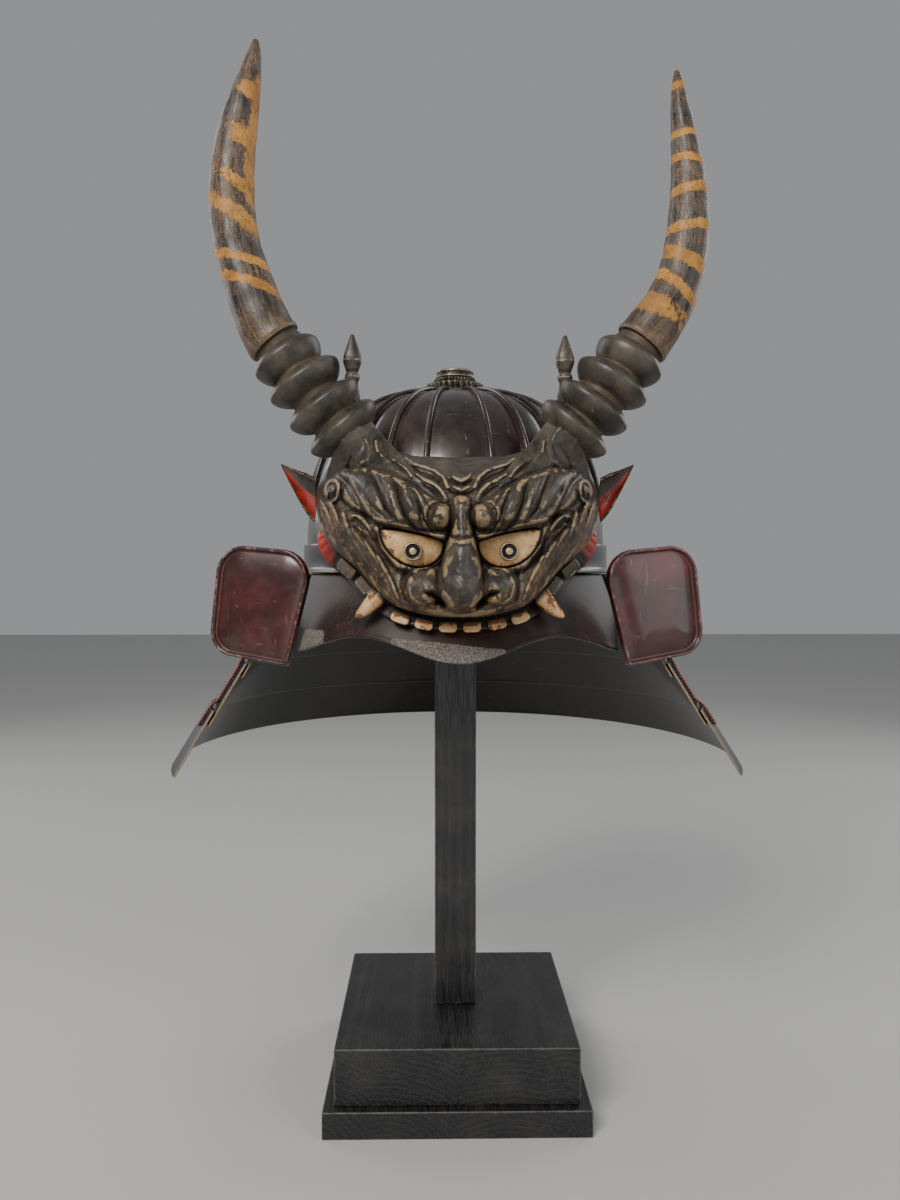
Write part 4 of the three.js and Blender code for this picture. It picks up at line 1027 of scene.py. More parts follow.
# %% Dome the turn-backs
high, rim = TURNBACK["thickness"], TURNBACK["rim_height"]
SECTION = [
    (0.0, 0.0), (0.0, 1.0), (0.0, 3.6), (0.15, 4.5), (0.6, 4.95), (1.2, 5.0), (1.9, 4.9), (2.4, 4.4),
    (2.8, 3.2), (3.1, 2.3), (3.5, 2.0), (4.2, 2.1), (5.2, 2.5), (7, 3.0), (9.5, 3.6), (13, 4.2), (18, 4.7),
    (24, 4.95),
]
for side, sign in SIDES.items():
    yaw = math.radians(TURNBACK["yaw"])
    outward = np.array([math.cos(yaw) * sign, math.sin(yaw), 0])
    forward = np.array([math.sin(yaw) * sign, -math.cos(yaw), 0])
    start = np.array([TURNBACK["foot"][0] * sign, TURNBACK["foot"][1], TURNBACK["foot"][2]])
    flat = [(turnback_outline(inset), up) for inset, up in SECTION]
    middle = flat[-1][0].mean(0)
    flat += [(middle + (flat[17][0] - middle) * share, 5.0 - 0.02 * share) for share in (0.7, 0.4, 0.15)]
    rings = [start + p[:, :1] * outward + up * forward + p[:, 1:] * np.array([0, 0, 1]) for p, up in flat]
    count = len(rings[0])
    insets = [inset for inset, _ in SECTION] + [30, 32, 34]
    ups = [up for _, up in flat]
    edge = [[0.72 * (0.5 < i < 2.0 and u > 4.3) for _ in range(count)] for i, u in zip(insets, ups)]
    groove = [[(1.0 if 2.7 < i < 4.5 else 0.12) * (i > 0) for _ in range(count)] for i in insets]
    turnback = tube(f"turnback_{side}_plate", rings, {"edge": edge, "hollow": groove}, sharp=70)
    dress(turnback, red_lacquer, "red_lacquer", f"turnback_{side}")

# %% [markdown]
# ## The carved face
# The crest is a demon's head carved in wood, lacquered black, with ochre and red left in its
# hollows. Sculpting it by hand would take many sessions and could not be repeated. A carver
# works from big forms to small cuts, and so does this cell: first the swelling of the face
# over the helmet, then round masses such as the nose and the brow, and last the grooves
# between the locks of hair, each a stroke along a few points.

# %% The helmet behind the face, seen from the front
FACE = {"centre": 435, "rim": 5, "depth": 40, "power": 2.5, "wall": 14}
SEAT = {"over_bowl": 12.5, "over_peak": 7.5}


def helmet_front(x, z, over_bowl, over_peak):
    lift = np.clip((z - BOWL["rim"]) / BOWL["height"], 0, 0.98)
    ring = (1 - lift ** BOWL["power"]) ** (1 / BOWL["power"])
    side = np.minimum(np.abs(x) / ((BOWL["width"] + over_bowl) * ring), 0.97)
    bowl = (BOWL["depth"] + over_bowl) * ring * np.sqrt(1 - side * side)
    offset = PEAK["wall"] / 2 + over_peak
    turn, drop = np.zeros_like(bowl), np.full_like(bowl, 0.5)
    for _ in range(5):
        reach = mix(PEAK["width"], PEAK_EDGE["width"], drop) + PEAK["bulge"] * np.sin(math.pi * drop) + offset
        turn = np.arcsin(np.minimum(np.abs(x) / reach, 0.88))
        drop = np.clip((PEAK["top"] - z) / (PEAK["top"] - peak_point(turn, 1.0, 0)[..., 2]), 0, 1)
    return np.where(z >= PEAK["top"], bowl, np.maximum(bowl, -peak_point(turn, drop, offset)[..., 1]))


# %% Strokes: round masses, ridges and grooves
def mound(x, z, middle, wide, tall, full=0.5):
    far = ((x - middle[0]) / wide) ** 2 + ((z - middle[1]) / tall) ** 2
    return np.maximum(1 - far, 0) ** full


def stroke_distance(x, z, path):
    """Distance to a line through points, its side, and the share of the way along it."""
    path = np.array(path, float)
    best, side, along = np.full(x.shape, 1e9), np.zeros(x.shape), np.zeros(x.shape)
    lengths = np.linalg.norm(np.diff(path, axis=0), axis=1)
    passed, whole = np.concatenate([[0], np.cumsum(lengths)]), lengths.sum()
    for i, (a, b) in enumerate(zip(path, path[1:])):
        d = b - a
        t = np.clip(((x - a[0]) * d[0] + (z - a[1]) * d[1]) / (d @ d), 0, 1)
        dx, dz = x - a[0] - t * d[0], z - a[1] - t * d[1]
        far = np.hypot(dx, dz)
        near = far < best
        best = np.where(near, far, best)
        side = np.where(near, np.sign(d[0] * dz - d[1] * dx), side)
        along = np.where(near, (passed[i] + t * lengths[i]) / whole, along)
    return best, side, along


def ridge(x, z, path, half, high, taper=(1.0, 1.0)):
    far, _, along = stroke_distance(x, z, path)
    size = mix(taper[0], taper[1], along)
    return high * size * np.maximum(1 - (far / (half * np.maximum(size, 0.25))) ** 2, 0) ** 0.75


def groove(x, z, path, half, deep, ends=0.25):
    """A sharp crease whose sides round over, as between two full locks."""
    far, _, along = stroke_distance(x, z, path)
    fade = np.minimum(1, np.minimum(along, 1 - along) / ends + 0.3)
    near = np.maximum(1 - far / (half * (0.5 + 0.5 * fade)), 0)
    return deep * fade * (1 - np.sqrt(np.maximum(1 - near ** 2, 0)))


def lock(x, z, path, half, high):
    """A lock of hair: it climbs slowly on one side and drops steeply on the other."""
    far, side, along = stroke_distance(x, z, path)
    width = half * (0.35 + 0.65 * np.sin(math.pi * np.clip(along * 0.9 + 0.1, 0, 1)))
    reach = np.where(side > 0, far / (width * 1.5), far / (width * 0.45))
    return high * (1 - 0.45 * along) * np.maximum(1 - reach, 0) ** 0.7


def smooth_max(a, b, soft):
    h = np.clip(0.5 + 0.5 * (a - b) / soft, 0, 1)
    return mix(b, a, h) + soft * h * (1 - h)


# %% The masses of the face, in millimetres from its middle line
BROW = [(17, 443, 9, 8), (31, 448, 13, 11), (46, 454, 16, 12), (61, 462, 15, 10), (78, 467, 9, 6)]
NOSE = [(0, 450, 6, 9), (0, 432, 7, 11), (0, 424, 9, 13), (0, 413, 11.5, 16.5), (0, 403, 15, 18.5),
    (0, 398, 15.5, 18)]
MASSES = [
    # across, height, half width, half height, how far it stands out
    (22.5, 399.5, 11.5, 12.5, 20),
    (12.8, 442.5, 8.2, 8.2, 19), (58, 414, 22, 16, 5), (0, 384.5, 28, 6.5, 9), (66, 438, 12, 9, 5),
]
SOCKET = (31, 424, 27, 17, 6)
GROOVES = [
    # the deep cuts between the locks of the brow
    ([(80.5, 475.5), (73, 468), (68, 460.5), (64.5, 452.5), (59.5, 443.5), (52, 438)], 5.5, 8.0),
    ([(67.5, 465), (61.5, 457.5), (57, 450.5), (46.5, 441)], 4.5, 5.5),
    ([(59.5, 474), (54, 465), (50, 456), (46.5, 447), (39, 438.5)], 5.5, 8.0),
    ([(43.5, 466.5), (39.5, 459), (37.5, 450.5), (34, 442), (25.5, 432.5)], 5.5, 8.0),
    ([(34, 462.5), (29, 456.5), (25.5, 448), (22.5, 439.5), (16.5, 432)], 5.0, 7.0),
    ([(27, 459.5), (22.5, 452), (19.5, 446.5)], 4.0, 5.0),
    ([(51, 468), (47.5, 461), (45, 453), (42, 446)], 3.0, 3.0),
    ([(71, 470), (66, 463), (62, 455)], 3.0, 3.0),
    # the step above the brow, the temple and the outer curl
    ([(80.5, 478), (70.5, 478), (60.5, 477), (52, 473), (43.5, 470), (33.5, 464.5), (25, 458.5), (17, 453)],
    4.5, 5.0),
    ([(85, 468), (79, 461), (77, 455), (70.5, 448.5)], 4.0, 5.5),
    ([(80.5, 470.5), (74, 464), (69.5, 456.5), (66, 450.5)], 3.5, 4.5),
    ([(73, 440.5), (67, 441.5), (62.5, 438), (57, 432)], 3.5, 4.5),
    ([(78, 449), (70, 448), (63, 446), (57, 440)], 3.5, 4.5),
    # forehead
    ([(52, 491), (50.5, 486), (45.5, 479.5), (38.5, 474), (33, 468.5)], 4.0, 4.0),
    ([(32, 477), (27, 472), (20, 469), (14, 465), (10.5, 459.5)], 4.0, 4.4),
    ([(24.5, 463), (18, 459), (13, 454.5)], 3.4, 4.0),
    ([(8, 458.5), (3, 456.5), (0, 456)], 3.0, 4.0), ([(8, 466.5), (3, 463), (0, 462)], 3.0, 3.6),
    # nose: root creases, flanks and nostrils
    ([(8, 431), (4, 429), (0, 428.4)], 3.0, 3.6), ([(6.5, 449), (7, 440), (8, 431), (11, 422)], 4.0, 6.0),
    ([(12.5, 416), (13, 408), (12.5, 400)], 4.0, 5.0),
    ([(22, 396), (17.5, 394.5), (12, 390), (9, 385)], 6.0, 18.0),
    ([(34, 411), (37, 401), (35, 391), (28, 384.5)], 4.5, 6.0),
    # mouth corner and lower lid
    ([(56, 434), (51, 420.5), (40, 408.5), (28, 405.5), (16, 412)], 4.0, 4.0),
]
RIDGES = [
    # folds from the horn's foot, then the forehead
    ([(70, 508), (63, 500), (60, 491), (62, 482), (68, 476)], 3.4, 3.0, (0.5, 0.8)),
    ([(80, 500), (76, 492), (74, 485), (78, 478)], 3.2, 2.6, (0.4, 0.9)),
    ([(55.5, 494), (54, 487.5), (49, 482.5), (42, 478.5), (35, 473), (31, 468)], 3.0, 3.4, (0.8, 0.5)),
    ([(35, 482), (30, 477.5), (23.5, 475.5), (16.5, 472.5), (11.5, 468), (8.5, 461)], 3.0, 3.6, (0.6, 0.7)),
    ([(28, 469.5), (23, 466), (16.5, 463), (12, 458.5), (9.5, 453)], 2.8, 3.2, (0.5, 0.8)),
    ([(7.5, 471), (3.5, 467), (0, 465.5)], 2.6, 3.0, (0.5, 1)), ([(5, 461.5), (0, 459)], 2.3, 2.4, (0.6, 1)),
    ([(5, 453.5), (0, 451.5)], 2.2, 2.2, (0.6, 1)), ([(6.5, 427), (0, 425.6)], 2.4, 2.2, (0.7, 1)),
    # lids
    ([(53.5, 436), (49.5, 424.5), (40, 412.8), (28, 409.8), (16.5, 415), (8.5, 425)], 3.4, 5.5, (0.7, 0.8)),
    ([(55, 441), (44, 438.5), (31, 434.5), (18, 430.5), (8, 428.5)], 3.0, 5.0, (0.6, 0.7)),
    # temple curl
    ([(74, 443.5), (67.5, 445), (62, 441.5), (58, 435.5), (55, 430)], 2.8, 4.0, (0.5, 0.6)),
    ([(74, 438), (67.5, 438.8), (63.5, 434.5)], 2.4, 3.0, (0.5, 0.6)),
    # nostril wing and upper lip
    ([(17, 409), (24, 411.5), (31, 408), (33.5, 400), (31, 391.5), (24, 387)], 2.4, 3.2, (0.5, 0.9)),
    ([(0, 381.6), (8, 382), (17, 383), (25, 386.5), (31, 391.5)], 3.0, 3.6, (1, 0.5)),
    # outer curl and its hanging lobes
    ([(99.5, 454.5), (93, 451.5), (85.5, 454.5), (82.5, 458.5)], 2.6, 3.0, (0.5, 0.8)),
    ([(101, 452.5), (98, 445.5), (93.5, 436.5)], 3.0, 3.4, (0.4, 1)),
]
FLAMES = [
    # locks that lick across the cheek: root, middle and tip
    ([(90, 451), (86, 440), (78, 427), (76, 421)], 6.0, 7.0),
    ([(84, 452), (79, 440), (72, 427), (64.5, 417.5)], 6.0, 7.0),
    ([(75, 445), (71.5, 433), (64.5, 421.5), (58, 411)], 6.0, 7.0),
    ([(68, 435), (62, 425.5), (57.5, 416), (52, 405)], 5.6, 6.6),
    ([(60, 427), (54.5, 418), (50.5, 409), (46.5, 398)], 5.2, 6.0),
    ([(52, 418), (48.5, 411), (43.5, 402), (39, 391)], 5.0, 5.6),
    ([(95, 441), (91, 430), (84, 421)], 5.4, 6.0), ([(86, 432), (80, 421), (73, 412)], 5.4, 6.0),
    ([(76, 424), (69, 413), (62, 404)], 5.2, 6.0), ([(67, 414), (61, 405), (55, 397)], 5.0, 5.4),
    ([(58, 405), (53, 397), (47, 390)], 4.6, 5.0), ([(48, 396), (43, 389), (38, 385)], 4.0, 4.0),
    ([(98, 450), (97, 440), (92, 431)], 4.6, 5.0), ([(92, 461), (93, 450), (88, 443)], 4.6, 5.0),
]


# %% Spiral curls beside the nose and above the ears
def curl(x, z, middle, size, turns, high, start, way=1):
    dx, dz = x - middle[0], z - middle[1]
    r, a = np.hypot(dx, dz), (np.arctan2(dz, dx) * way - start) % TURN
    total = np.zeros_like(x)
    for k in range(turns + 1):
        spiral = size * (0.36 + 0.64 * (a + TURN * k) / (TURN * turns))
        on = (a + TURN * k) <= TURN * turns
        total = np.maximum(total, np.where(on, np.maximum(1 - ((r - spiral) / (size * 0.2)) ** 2, 0), 0))
    return high * total ** 0.7


def relief(x, z):
    """The big forms, and apart from them the cuts. Left and right mirror each other."""
    ax = np.abs(x)
    high = np.zeros_like(x)
    for a, b in [*zip(BROW, BROW[1:]), *zip(NOSE, NOSE[1:])]:
        for t in np.linspace(0, 1, 7):
            cx, cz, half, up = [mix(p, q, t) for p, q in zip(a, b)]
            high = smooth_max(high, up * 1.5 * mound(ax, z, (cx, cz), half, half), 1.5)
    for cx, cz, wide, tall, up in MASSES:
        high = smooth_max(high, up * mound(ax, z, (cx, cz), wide, tall), 1.5)
    cx, cz, wide, tall, deep = SOCKET
    high = high - deep * mound(ax, z, (cx, cz), wide, tall, 0.7)
    cuts = np.zeros_like(x)
    for path, half, up in FLAMES:
        cuts = np.maximum(cuts, lock(ax, z, path, half, 1.35 * up))
    for path, half, up, taper in RIDGES:
        cuts = cuts + ridge(ax, z, path, half, up, taper)
    for path, half, deep in GROOVES:
        cuts = cuts - groove(ax, z, path, half, deep)
    past_knob = soft_step(np.hypot(ax - 12.8, z - 442.5), 8, 9)
    cuts = cuts + curl(ax, z, (12.8, 442.5), 12, 1, 3.6, 2.0, -1) * past_knob
    beside = np.hypot(ax - 87.5, z - 464)
    scroll = curl(ax, z, (87.5, 464), 9.8, 1, 7, -1.2) + 7 * mound(ax, z, (87.5, 464), 4.2, 4.2) - 1.5
    return high, mix(scroll, cuts, soft_step(beside, 8.5, 10.5))


# %% Measure the relief once on a fine square grid, with its hollows and crests
STEP = 0.5
grid_x, grid_z = np.meshgrid(np.arange(0, 108, STEP), np.arange(372, 518, STEP), indexing="xy")
masses, cuts = relief(grid_x, grid_z)


def blurred(values, reach):
    kernel = np.ones(2 * reach + 1) / (2 * reach + 1)
    padded = np.pad(values, reach, mode="edge")
    rows = np.apply_along_axis(lambda line: np.convolve(line, kernel, "valid"), 1, padded)
    return np.apply_along_axis(lambda line: np.convolve(line, kernel, "valid"), 0, rows)


def sampled(values, x, z):
    u, v = np.abs(x) / STEP, (z - 372) / STEP
    u, v = np.clip(u, 0, values.shape[1] - 1.001), np.clip(v, 0, values.shape[0] - 1.001)
    i, j = v.astype(int), u.astype(int)
    s, t = v - i, u - j
    low = values[i, j] * (1 - t) + values[i, j + 1] * t
    return low * (1 - s) + (values[i + 1, j] * (1 - t) + values[i + 1, j + 1] * t) * s


whole = masses + cuts
cavity = whole - blurred(blurred(whole, 4), 4)
print("relief from", round(float(whole.min()), 1), "to", round(float(whole.max()), 1), "mm")

# %% The outline of the face
FACE_OUTLINE = np.array([
    (0, -56), (14, -55.5), (28, -53), (41, -49), (50, -43.5), (58, -36), (67, -26.5), (78, -17), (89, -8),
    (96, 2), (100, 15), (101, 27), (97, 39), (91, 50), (85, 61), (76, 73), (65, 79), (57, 72), (50, 62),
    (42, 55), (30, 51), (15, 50), (0, 49)], float)


def smooth_line(corners, fine=60):
    """A centripetal Catmull-Rom curve through the corners."""
    corners = np.vstack([2 * corners[0] - corners[1], corners, 2 * corners[-1] - corners[-2]])
    found = []
    t = np.linspace(0, 1, fine, endpoint=False)[:, None]
    for a, b, c, d in zip(corners, corners[1:], corners[2:], corners[3:]):
        ta, tb, tc = (np.linalg.norm(q) ** 0.5 for q in (b - a, c - b, d - c))
        m = ((b - a) / ta - (c - a) / (ta + tb) + (c - b) / tb) * tb
        n = ((c - b) / tb - (d - b) / (tb + tc) + (d - c) / tc) * tb
        found.append((2 * t**3 - 3 * t**2 + 1) * b + (t**3 - 2 * t**2 + t) * m
                     + (3 * t**2 - 2 * t**3) * c + (t**3 - t**2) * n)
    return np.concatenate(found + [corners[-2][None]])


FACE_LINE = smooth_line(FACE_OUTLINE)
FACE_WAYS = np.concatenate([[0], np.cumsum(np.linalg.norm(np.diff(FACE_LINE, axis=0), axis=1))])


def face_edge(way):
    return np.stack([np.interp(way, FACE_WAYS, FACE_LINE[:, i]) for i in (0, 1)], -1)


# %% Carve the head
EYE = {"inner": 10, "outer": 51, "middle": 430.5, "slope": 0.2, "rise": 2.5, "fall": 19}
HORN_FOOT, HORN_END, HORN_RADIUS = (52, 474), (79.5, 507), 24


def eye_depth(x, z, grow=0.0):
    """How far inside the eye's outline a place is: 0 on the outline, 1 at the middle."""
    half = (EYE["outer"] - EYE["inner"]) / 2 + grow
    u = (np.abs(x) - (EYE["inner"] + EYE["outer"]) / 2) / half
    over = z - EYE["middle"] - EYE["slope"] * half * u
    far = np.hypot(u, over / np.where(over > 0, EYE["rise"] + grow, EYE["fall"] + grow))
    return 1 - far


def horn_foot(x, z):
    d = np.subtract(HORN_END, HORN_FOOT)
    px, pz = np.abs(x) - HORN_FOOT[0], z - HORN_FOOT[1]
    t = np.clip((px * d[0] + pz * d[1]) / (d @ d), 0, 1)
    off = np.hypot(px - t * d[0], pz - t * d[1])
    return 122 + HORN_RADIUS * (1.1 - 1.1 * (off / HORN_RADIUS) ** 2) * (0.5 + 0.5 * t)


half_ways = np.linspace(0, FACE_WAYS[-1], 221)
right = face_edge(half_ways)
outline = np.concatenate([right, (right[1:-1] * [-1, 1])[::-1]])
shares = np.concatenate([[0.004], np.linspace(0, 1, 178)[1:] ** 0.86])
E, S = outline[None], shares[:, None]
X, Z = E[..., 0] * S, FACE["centre"] + E[..., 1] * S
edge_x, edge_z = outline[None, :, 0] + 0 * S, FACE["centre"] + outline[None, :, 1] + 0 * S
plain = mix(helmet_front(X, Z, **SEAT), helmet_front(edge_x, edge_z, **SEAT), S ** 6)
swell = np.sqrt(np.maximum(0, 1 - S ** FACE["power"]))
border = np.minimum(1, 7 * (1 - S))
front_y = plain + FACE["rim"] + FACE["depth"] * swell + sampled(masses, X, Z) * border
foot_y = mix(horn_foot(X, Z), front_y - 9, soft_step(S, 0.955, 0.99))
front_y = smooth_max(front_y, foot_y, 9) + sampled(cuts, X, Z) * border
inside = eye_depth(X, Z, 0.6)
front_y = mix(front_y, np.minimum(front_y, 159), soft_step(inside, -0.01, 0.03))
rough_cut = 0.35 * np.sin(X * 0.9 + 2 * np.sin(Z * 0.31)) * np.sin(Z * 0.8 + 2 * np.sin(X * 0.27))
front_y = front_y + rough_cut * border * 0.5
shares_back = np.linspace(0, 1, len(shares))
Sb = shares_back[:, None]
Xb, Zb = outline[None, :, 0] * Sb, FACE["centre"] + outline[None, :, 1] * Sb
plain_b = mix(helmet_front(Xb, Zb, **SEAT), helmet_front(edge_x, edge_z, **SEAT), Sb ** 6)
back_y = plain_b + (FACE["depth"] - FACE["wall"]) * np.sqrt(np.maximum(0, 1 - Sb ** FACE["power"]))
front = np.stack([X, -front_y, Z], -1)
back = np.stack([Xb, -back_y, Zb], -1)
thinned = slice(None, None, 6)
# The carved finish reads these marks: hollow gives tan dust and, in the deepest cuts, painted shade; crest
# gives wear and a painted highlight on the crests and the outline.
pit = sampled(cavity, X, Z)
hollow = soft_step(-pit, 0.15, 1.1)
crest = np.maximum(soft_step(pit, 0.2, 1.3), 0.85 * soft_step(S, 0.975, 1.0) + 0 * X)
whiskers = soft_step(S, 0.6, 0.86) * soft_step(Z, 462, 448)
points = np.concatenate([front.reshape(-1, 3), back[thinned].reshape(-1, 3)])
rows_b = len(back[thinned])
rows_f, cols = front.shape[:2]
faces = grid_faces(rows_f, cols, around=True)
faces += [tuple(reversed(f)) for f in grid_faces(rows_b, cols, around=True, start=rows_f * cols)]
outer_loop = [(rows_f - 1) * cols + i for i in range(cols)]
back_loop = [rows_f * cols + (rows_b - 1) * cols + i for i in range(cols)]
for i in range(cols):
    j = (i + 1) % cols
    faces.append((outer_loop[i], outer_loop[j], back_loop[j], back_loop[i]))
points = np.concatenate([points, front[0].mean(0)[None], back[0].mean(0)[None]])
faces += fan_faces(0, cols, len(points) - 2, True) + fan_faces(rows_f * cols, cols, len(points) - 1, False)
pad = np.zeros(rows_b * cols + 2)
face = build("mask_carved", points, faces, {
    "hollow": np.concatenate([hollow.reshape(-1), pad]),
    "edge": np.concatenate([crest.reshape(-1), pad]),
    "ochre": np.concatenate([whiskers.reshape(-1), pad]),
}, 70)
print("carved face:", len(face.data.polygons), "faces")

# %% Carved wood: black lacquer over ochre ground, dusty in every hollow, with painted shade in the deepest cuts and painted highlight on the worn crests
carved, tree, shader = new_material("carved and lacquered wood", coat=0.06, coat_roughness=0.3, specular=0.45)
here = object_place(tree)
pit, crown = painted(tree, "hollow"), painted(tree, "edge")
tone = between(tree, noise(tree, here, 60.0, 6, 0.65), 0.35, 0.7)
colour = blend_colour(tree, tone, paint("24211e"), paint("4a433a"))
dirt = between(tree, plus(tree, pit, times(tree, minus(
    tree, noise(tree, here, 170.0, 5, 0.7), 0.5), 1.5)), 0.25, 1.15)
colour = blend_colour(tree, times(tree, dirt, 0.6), colour, paint("5d4a35"))
# The deepest cuts are painted near black: painted shade.
colour = blend_colour(tree, between(tree, pit, 0.75, 1.1), colour, paint("16120f"))
loss = between(tree, plus(tree, times(tree, painted(tree, "ochre"), 0.11), noise(
    tree, stretch(tree, here, (1.3, 1.0, 0.7)), 210.0, 6, 0.75)), 0.63, 0.70)
colour = blend_colour(tree, times(tree, loss, 0.8), colour, paint("94642f"))
# Crests and the outline turn pale tan in patches: wear through the black, and a painted highlight.
rubbed = place_group(tree, worn_edge, Place=here, Edge=times(tree, crown, 0.8), Amount=0.34, Scale=260.0)
colour = blend_colour(tree, times(tree, rubbed.outputs["Mask"], 0.7), colour, paint("a38c68"))
grime = place_group(tree, dusty, Place=here, Hollow=0.0, Haze=0.2, Specks=0.35, Scale=48.0)
plug(tree, shader["Base Color"], blend_colour(tree, grime.outputs["Mask"], colour, paint("8a7a66")))
plug(tree, shader["Roughness"], plus(tree, 0.42, times(tree, plus(
    tree, dirt, loss, clamp=True), 0.35)))
brush = noise(tree, stretch(tree, here, (1.0, 1.0, 0.45)), 620.0, 4, 0.6)
level = minus(tree, times(tree, brush, 0.6), times(tree, loss, 0.6))
plug(tree, shader["Normal"], bump(tree, level, 0.5, 0.0004))
dress(face, carved, "carved_wood", "mask")
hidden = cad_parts["crest_mount"]
hidden.data.materials.clear()
hidden.data.materials.append(carved)

# %% [markdown]
# ## Eyes, teeth and gum
# The eyes are cream paint over a domed slip of wood, with a metal stud for each pupil. The
# teeth are cut one by one and do not match. All of them sit in front of the helmet along the
# line of the mouth, so they are placed by how far along that line they are, and then rounded
# as a file would round them.

# %% Old cream paint
cream, tree, shader = new_material("old cream paint", roughness=0.5, specular=0.45)
here = object_place(tree)
tone = between(tree, noise(tree, here, 110.0, 6, 0.65), 0.35, 0.7)
colour = blend_colour(tree, tone, paint("b08a5a"), paint("d2b080"))
blush = between(tree, noise(tree, here, 420.0, 4, 0.6), 0.60, 0.68)
colour = blend_colour(tree, times(tree, blush, 0.55), colour, paint("b9655a"))
lost = between(tree, plus(tree, noise(tree, here, 150.0, 5, 0.7), times(
    tree, painted(tree, "hollow"), 0.3)), 0.66, 0.70)
colour = blend_colour(tree, lost, colour, paint("7a4a1f"))
fine = place_group(tree, crackled, Place=here, Scale=420.0, Width=0.04)
# Near black goes into the crackle and onto the edge mark: painted shade round each eye, at the roots of teeth
# and fangs, and over the web behind the teeth.
dark = plus(tree, times(tree, fine.outputs["Mask"], 0.35), painted(tree, "edge"), clamp=True)
plug(tree, shader["Base Color"], blend_colour(tree, dark, colour, paint("1d1612")))
plug(tree, shader["Roughness"], plus(tree, 0.42, times(tree, lost, 0.3)))
level = plus(tree, lost, fine.outputs["Mask"])
plug(tree, shader["Normal"], bump(tree, times(tree, level, -1.0), 0.35, 0.0003))
print("material:", cream.name)

# %% Worn iron for the pupils
iron, tree, shader = new_material("worn iron", metallic=0.8, specular=0.5)
here = object_place(tree)
tone = between(tree, noise(tree, here, 700.0, 5, 0.7), 0.35, 0.7)
# Pale patches where a stud is marked at its edge: rubbed wear, and a painted highlight on the ring and the
# dome.
rubbed = place_group(tree, worn_edge, Place=here, Edge=painted(tree, "edge"), Amount=0.55, Scale=900.0)
colour = blend_colour(tree, tone, paint("26262a"), paint("4a474a"))
plug(tree, shader["Base Color"], blend_colour(tree, rubbed.outputs["Mask"], colour, paint("b39a78")))
plug(tree, shader["Roughness"], plus(tree, 0.34, times(tree, tone, 0.25)))
plug(tree, shader["Normal"], bump(tree, tone, 0.3, 0.0002))

# %% Set the eyes and their studs
turn = np.linspace(0, TURN, 72, endpoint=False)
for side, sign in SIDES.items():
    half = (EYE["outer"] - EYE["inner"]) / 2
    up = np.where(np.sin(turn) > 0, EYE["rise"], EYE["fall"]) * np.sin(turn)
    rim = np.stack([
        sign * (half + EYE["inner"] + half * np.cos(turn)),
        EYE["middle"] + EYE["slope"] * half * np.cos(turn) + up], -1)
    middle = np.array([sign * (EYE["inner"] + EYE["outer"]) / 2, EYE["middle"] - EYE["fall"] * 0.4])
    rows = [(1, -160.2), (1, -174.6), (0.985, -175.6), (0.95, -176.3), (0.9, -176.9), (0.8, -177.9)]
    rows += [(s, -180 + 2.1 * (s / 0.8) ** 2) for s in (0.65, 0.5, 0.35, 0.2, 0.08)]
    rings = []
    for share, y in rows:
        place = middle + (rim - middle) * share
        rings.append(np.stack([place[:, 0], 0 * turn + y, place[:, 1]], -1))
    # dark paints shade in a ring where the eyeball meets the lid.
    dark = [[1.0 if 0.94 < s < 0.99 else (0.5 if s > 0.99 else 0.0)] * 72 for s, _ in rows]
    corner = [[0.8 * max(0, (s - 0.5) * 2) * (0.6 + 0.4 * math.cos(a)) for a in turn] for s, _ in rows]
    dress(tube(f"eye_{side}_painted", rings, {"edge": dark, "hollow": corner}), cream, "cream_paint",
        f"eye_{side}")
    x, z, front = sign * 30, 421, -180.3
    profile = [(5.9, 0.0), (5.9, 1.3), (5.6, 1.8), (5.1, 2.0), (4.6, 1.8), (4.2, 1.2), (3.9, 0.9), (3.4, 0.9),
               (3.1, 1.3), (2.7, 1.9), (2.0, 2.4), (1.1, 2.6), (0.4, 2.65)]
    rings = [
        np.stack([x + r * np.cos(turn), 0 * turn + front - up, z + r * np.sin(turn)], -1)
        for r, up in profile]
    # shine marks the top of the ring and the dome for that painted highlight.
    shine = [[{0: 0, 3: 1, 2: 0.7}.get(i, 0.8 if i > 9 else 0.1)] * 72 for i in range(len(profile))]
    dress(tube(f"pupil_{side}_stud", rings, {"edge": shine}), iron, "iron", f"pupil_{side}")


# %% Places along the mouth
def mouth_point(way, reach, depth):
    way, reach, depth = np.broadcast_arrays(*(np.asarray(v, float) for v in (way, reach, depth)))
    t = np.abs(way)
    edge, along = face_edge(t), face_edge(t + 0.5) - face_edge(np.maximum(t - 0.5, 0))
    along = along / np.linalg.norm(along, axis=-1, keepdims=True)
    x = edge[..., 0] + along[..., 1] * reach
    z = FACE["centre"] + edge[..., 1] - along[..., 0] * reach
    return np.stack([x * np.where(way < 0, -1, 1), -helmet_front(x, z, 6.4 + depth, depth), z], -1)


def tooth(way, width, near, far, back, front, grow=0.0, seed=0):
    """A tooth rounded at its tip and sides, as rings from its root to its tip."""
    chance = np.random.default_rng(seed)
    lean = chance.uniform(-0.5, 0.5)
    turn = np.linspace(0, TURN, 20, endpoint=False)
    square = lambda v: np.sign(v) * np.abs(v) ** 0.45
    rings = []
    for t in (0, 0.25, 0.5, 0.7, 0.84, 0.93, 0.98, 1.0):
        size = math.sqrt(max(1 - max(0, (t - 0.62) / 0.38) ** 2.6, 0.02))
        spread = width / 2 * (0.93 + 0.07 * math.sin(3 * t)) * (0.55 + 0.45 * size)
        deep = (front - back) / 2 * (0.35 + 0.65 * size) * (1 - 0.12 * t)
        rings.append(mouth_point(
            way + lean * t + spread * square(np.cos(turn)), mix(near, far, t) + 0 * turn,
            (front + back) / 2 + deep * square(np.sin(turn)) + grow * t))
    return np.array(rings)


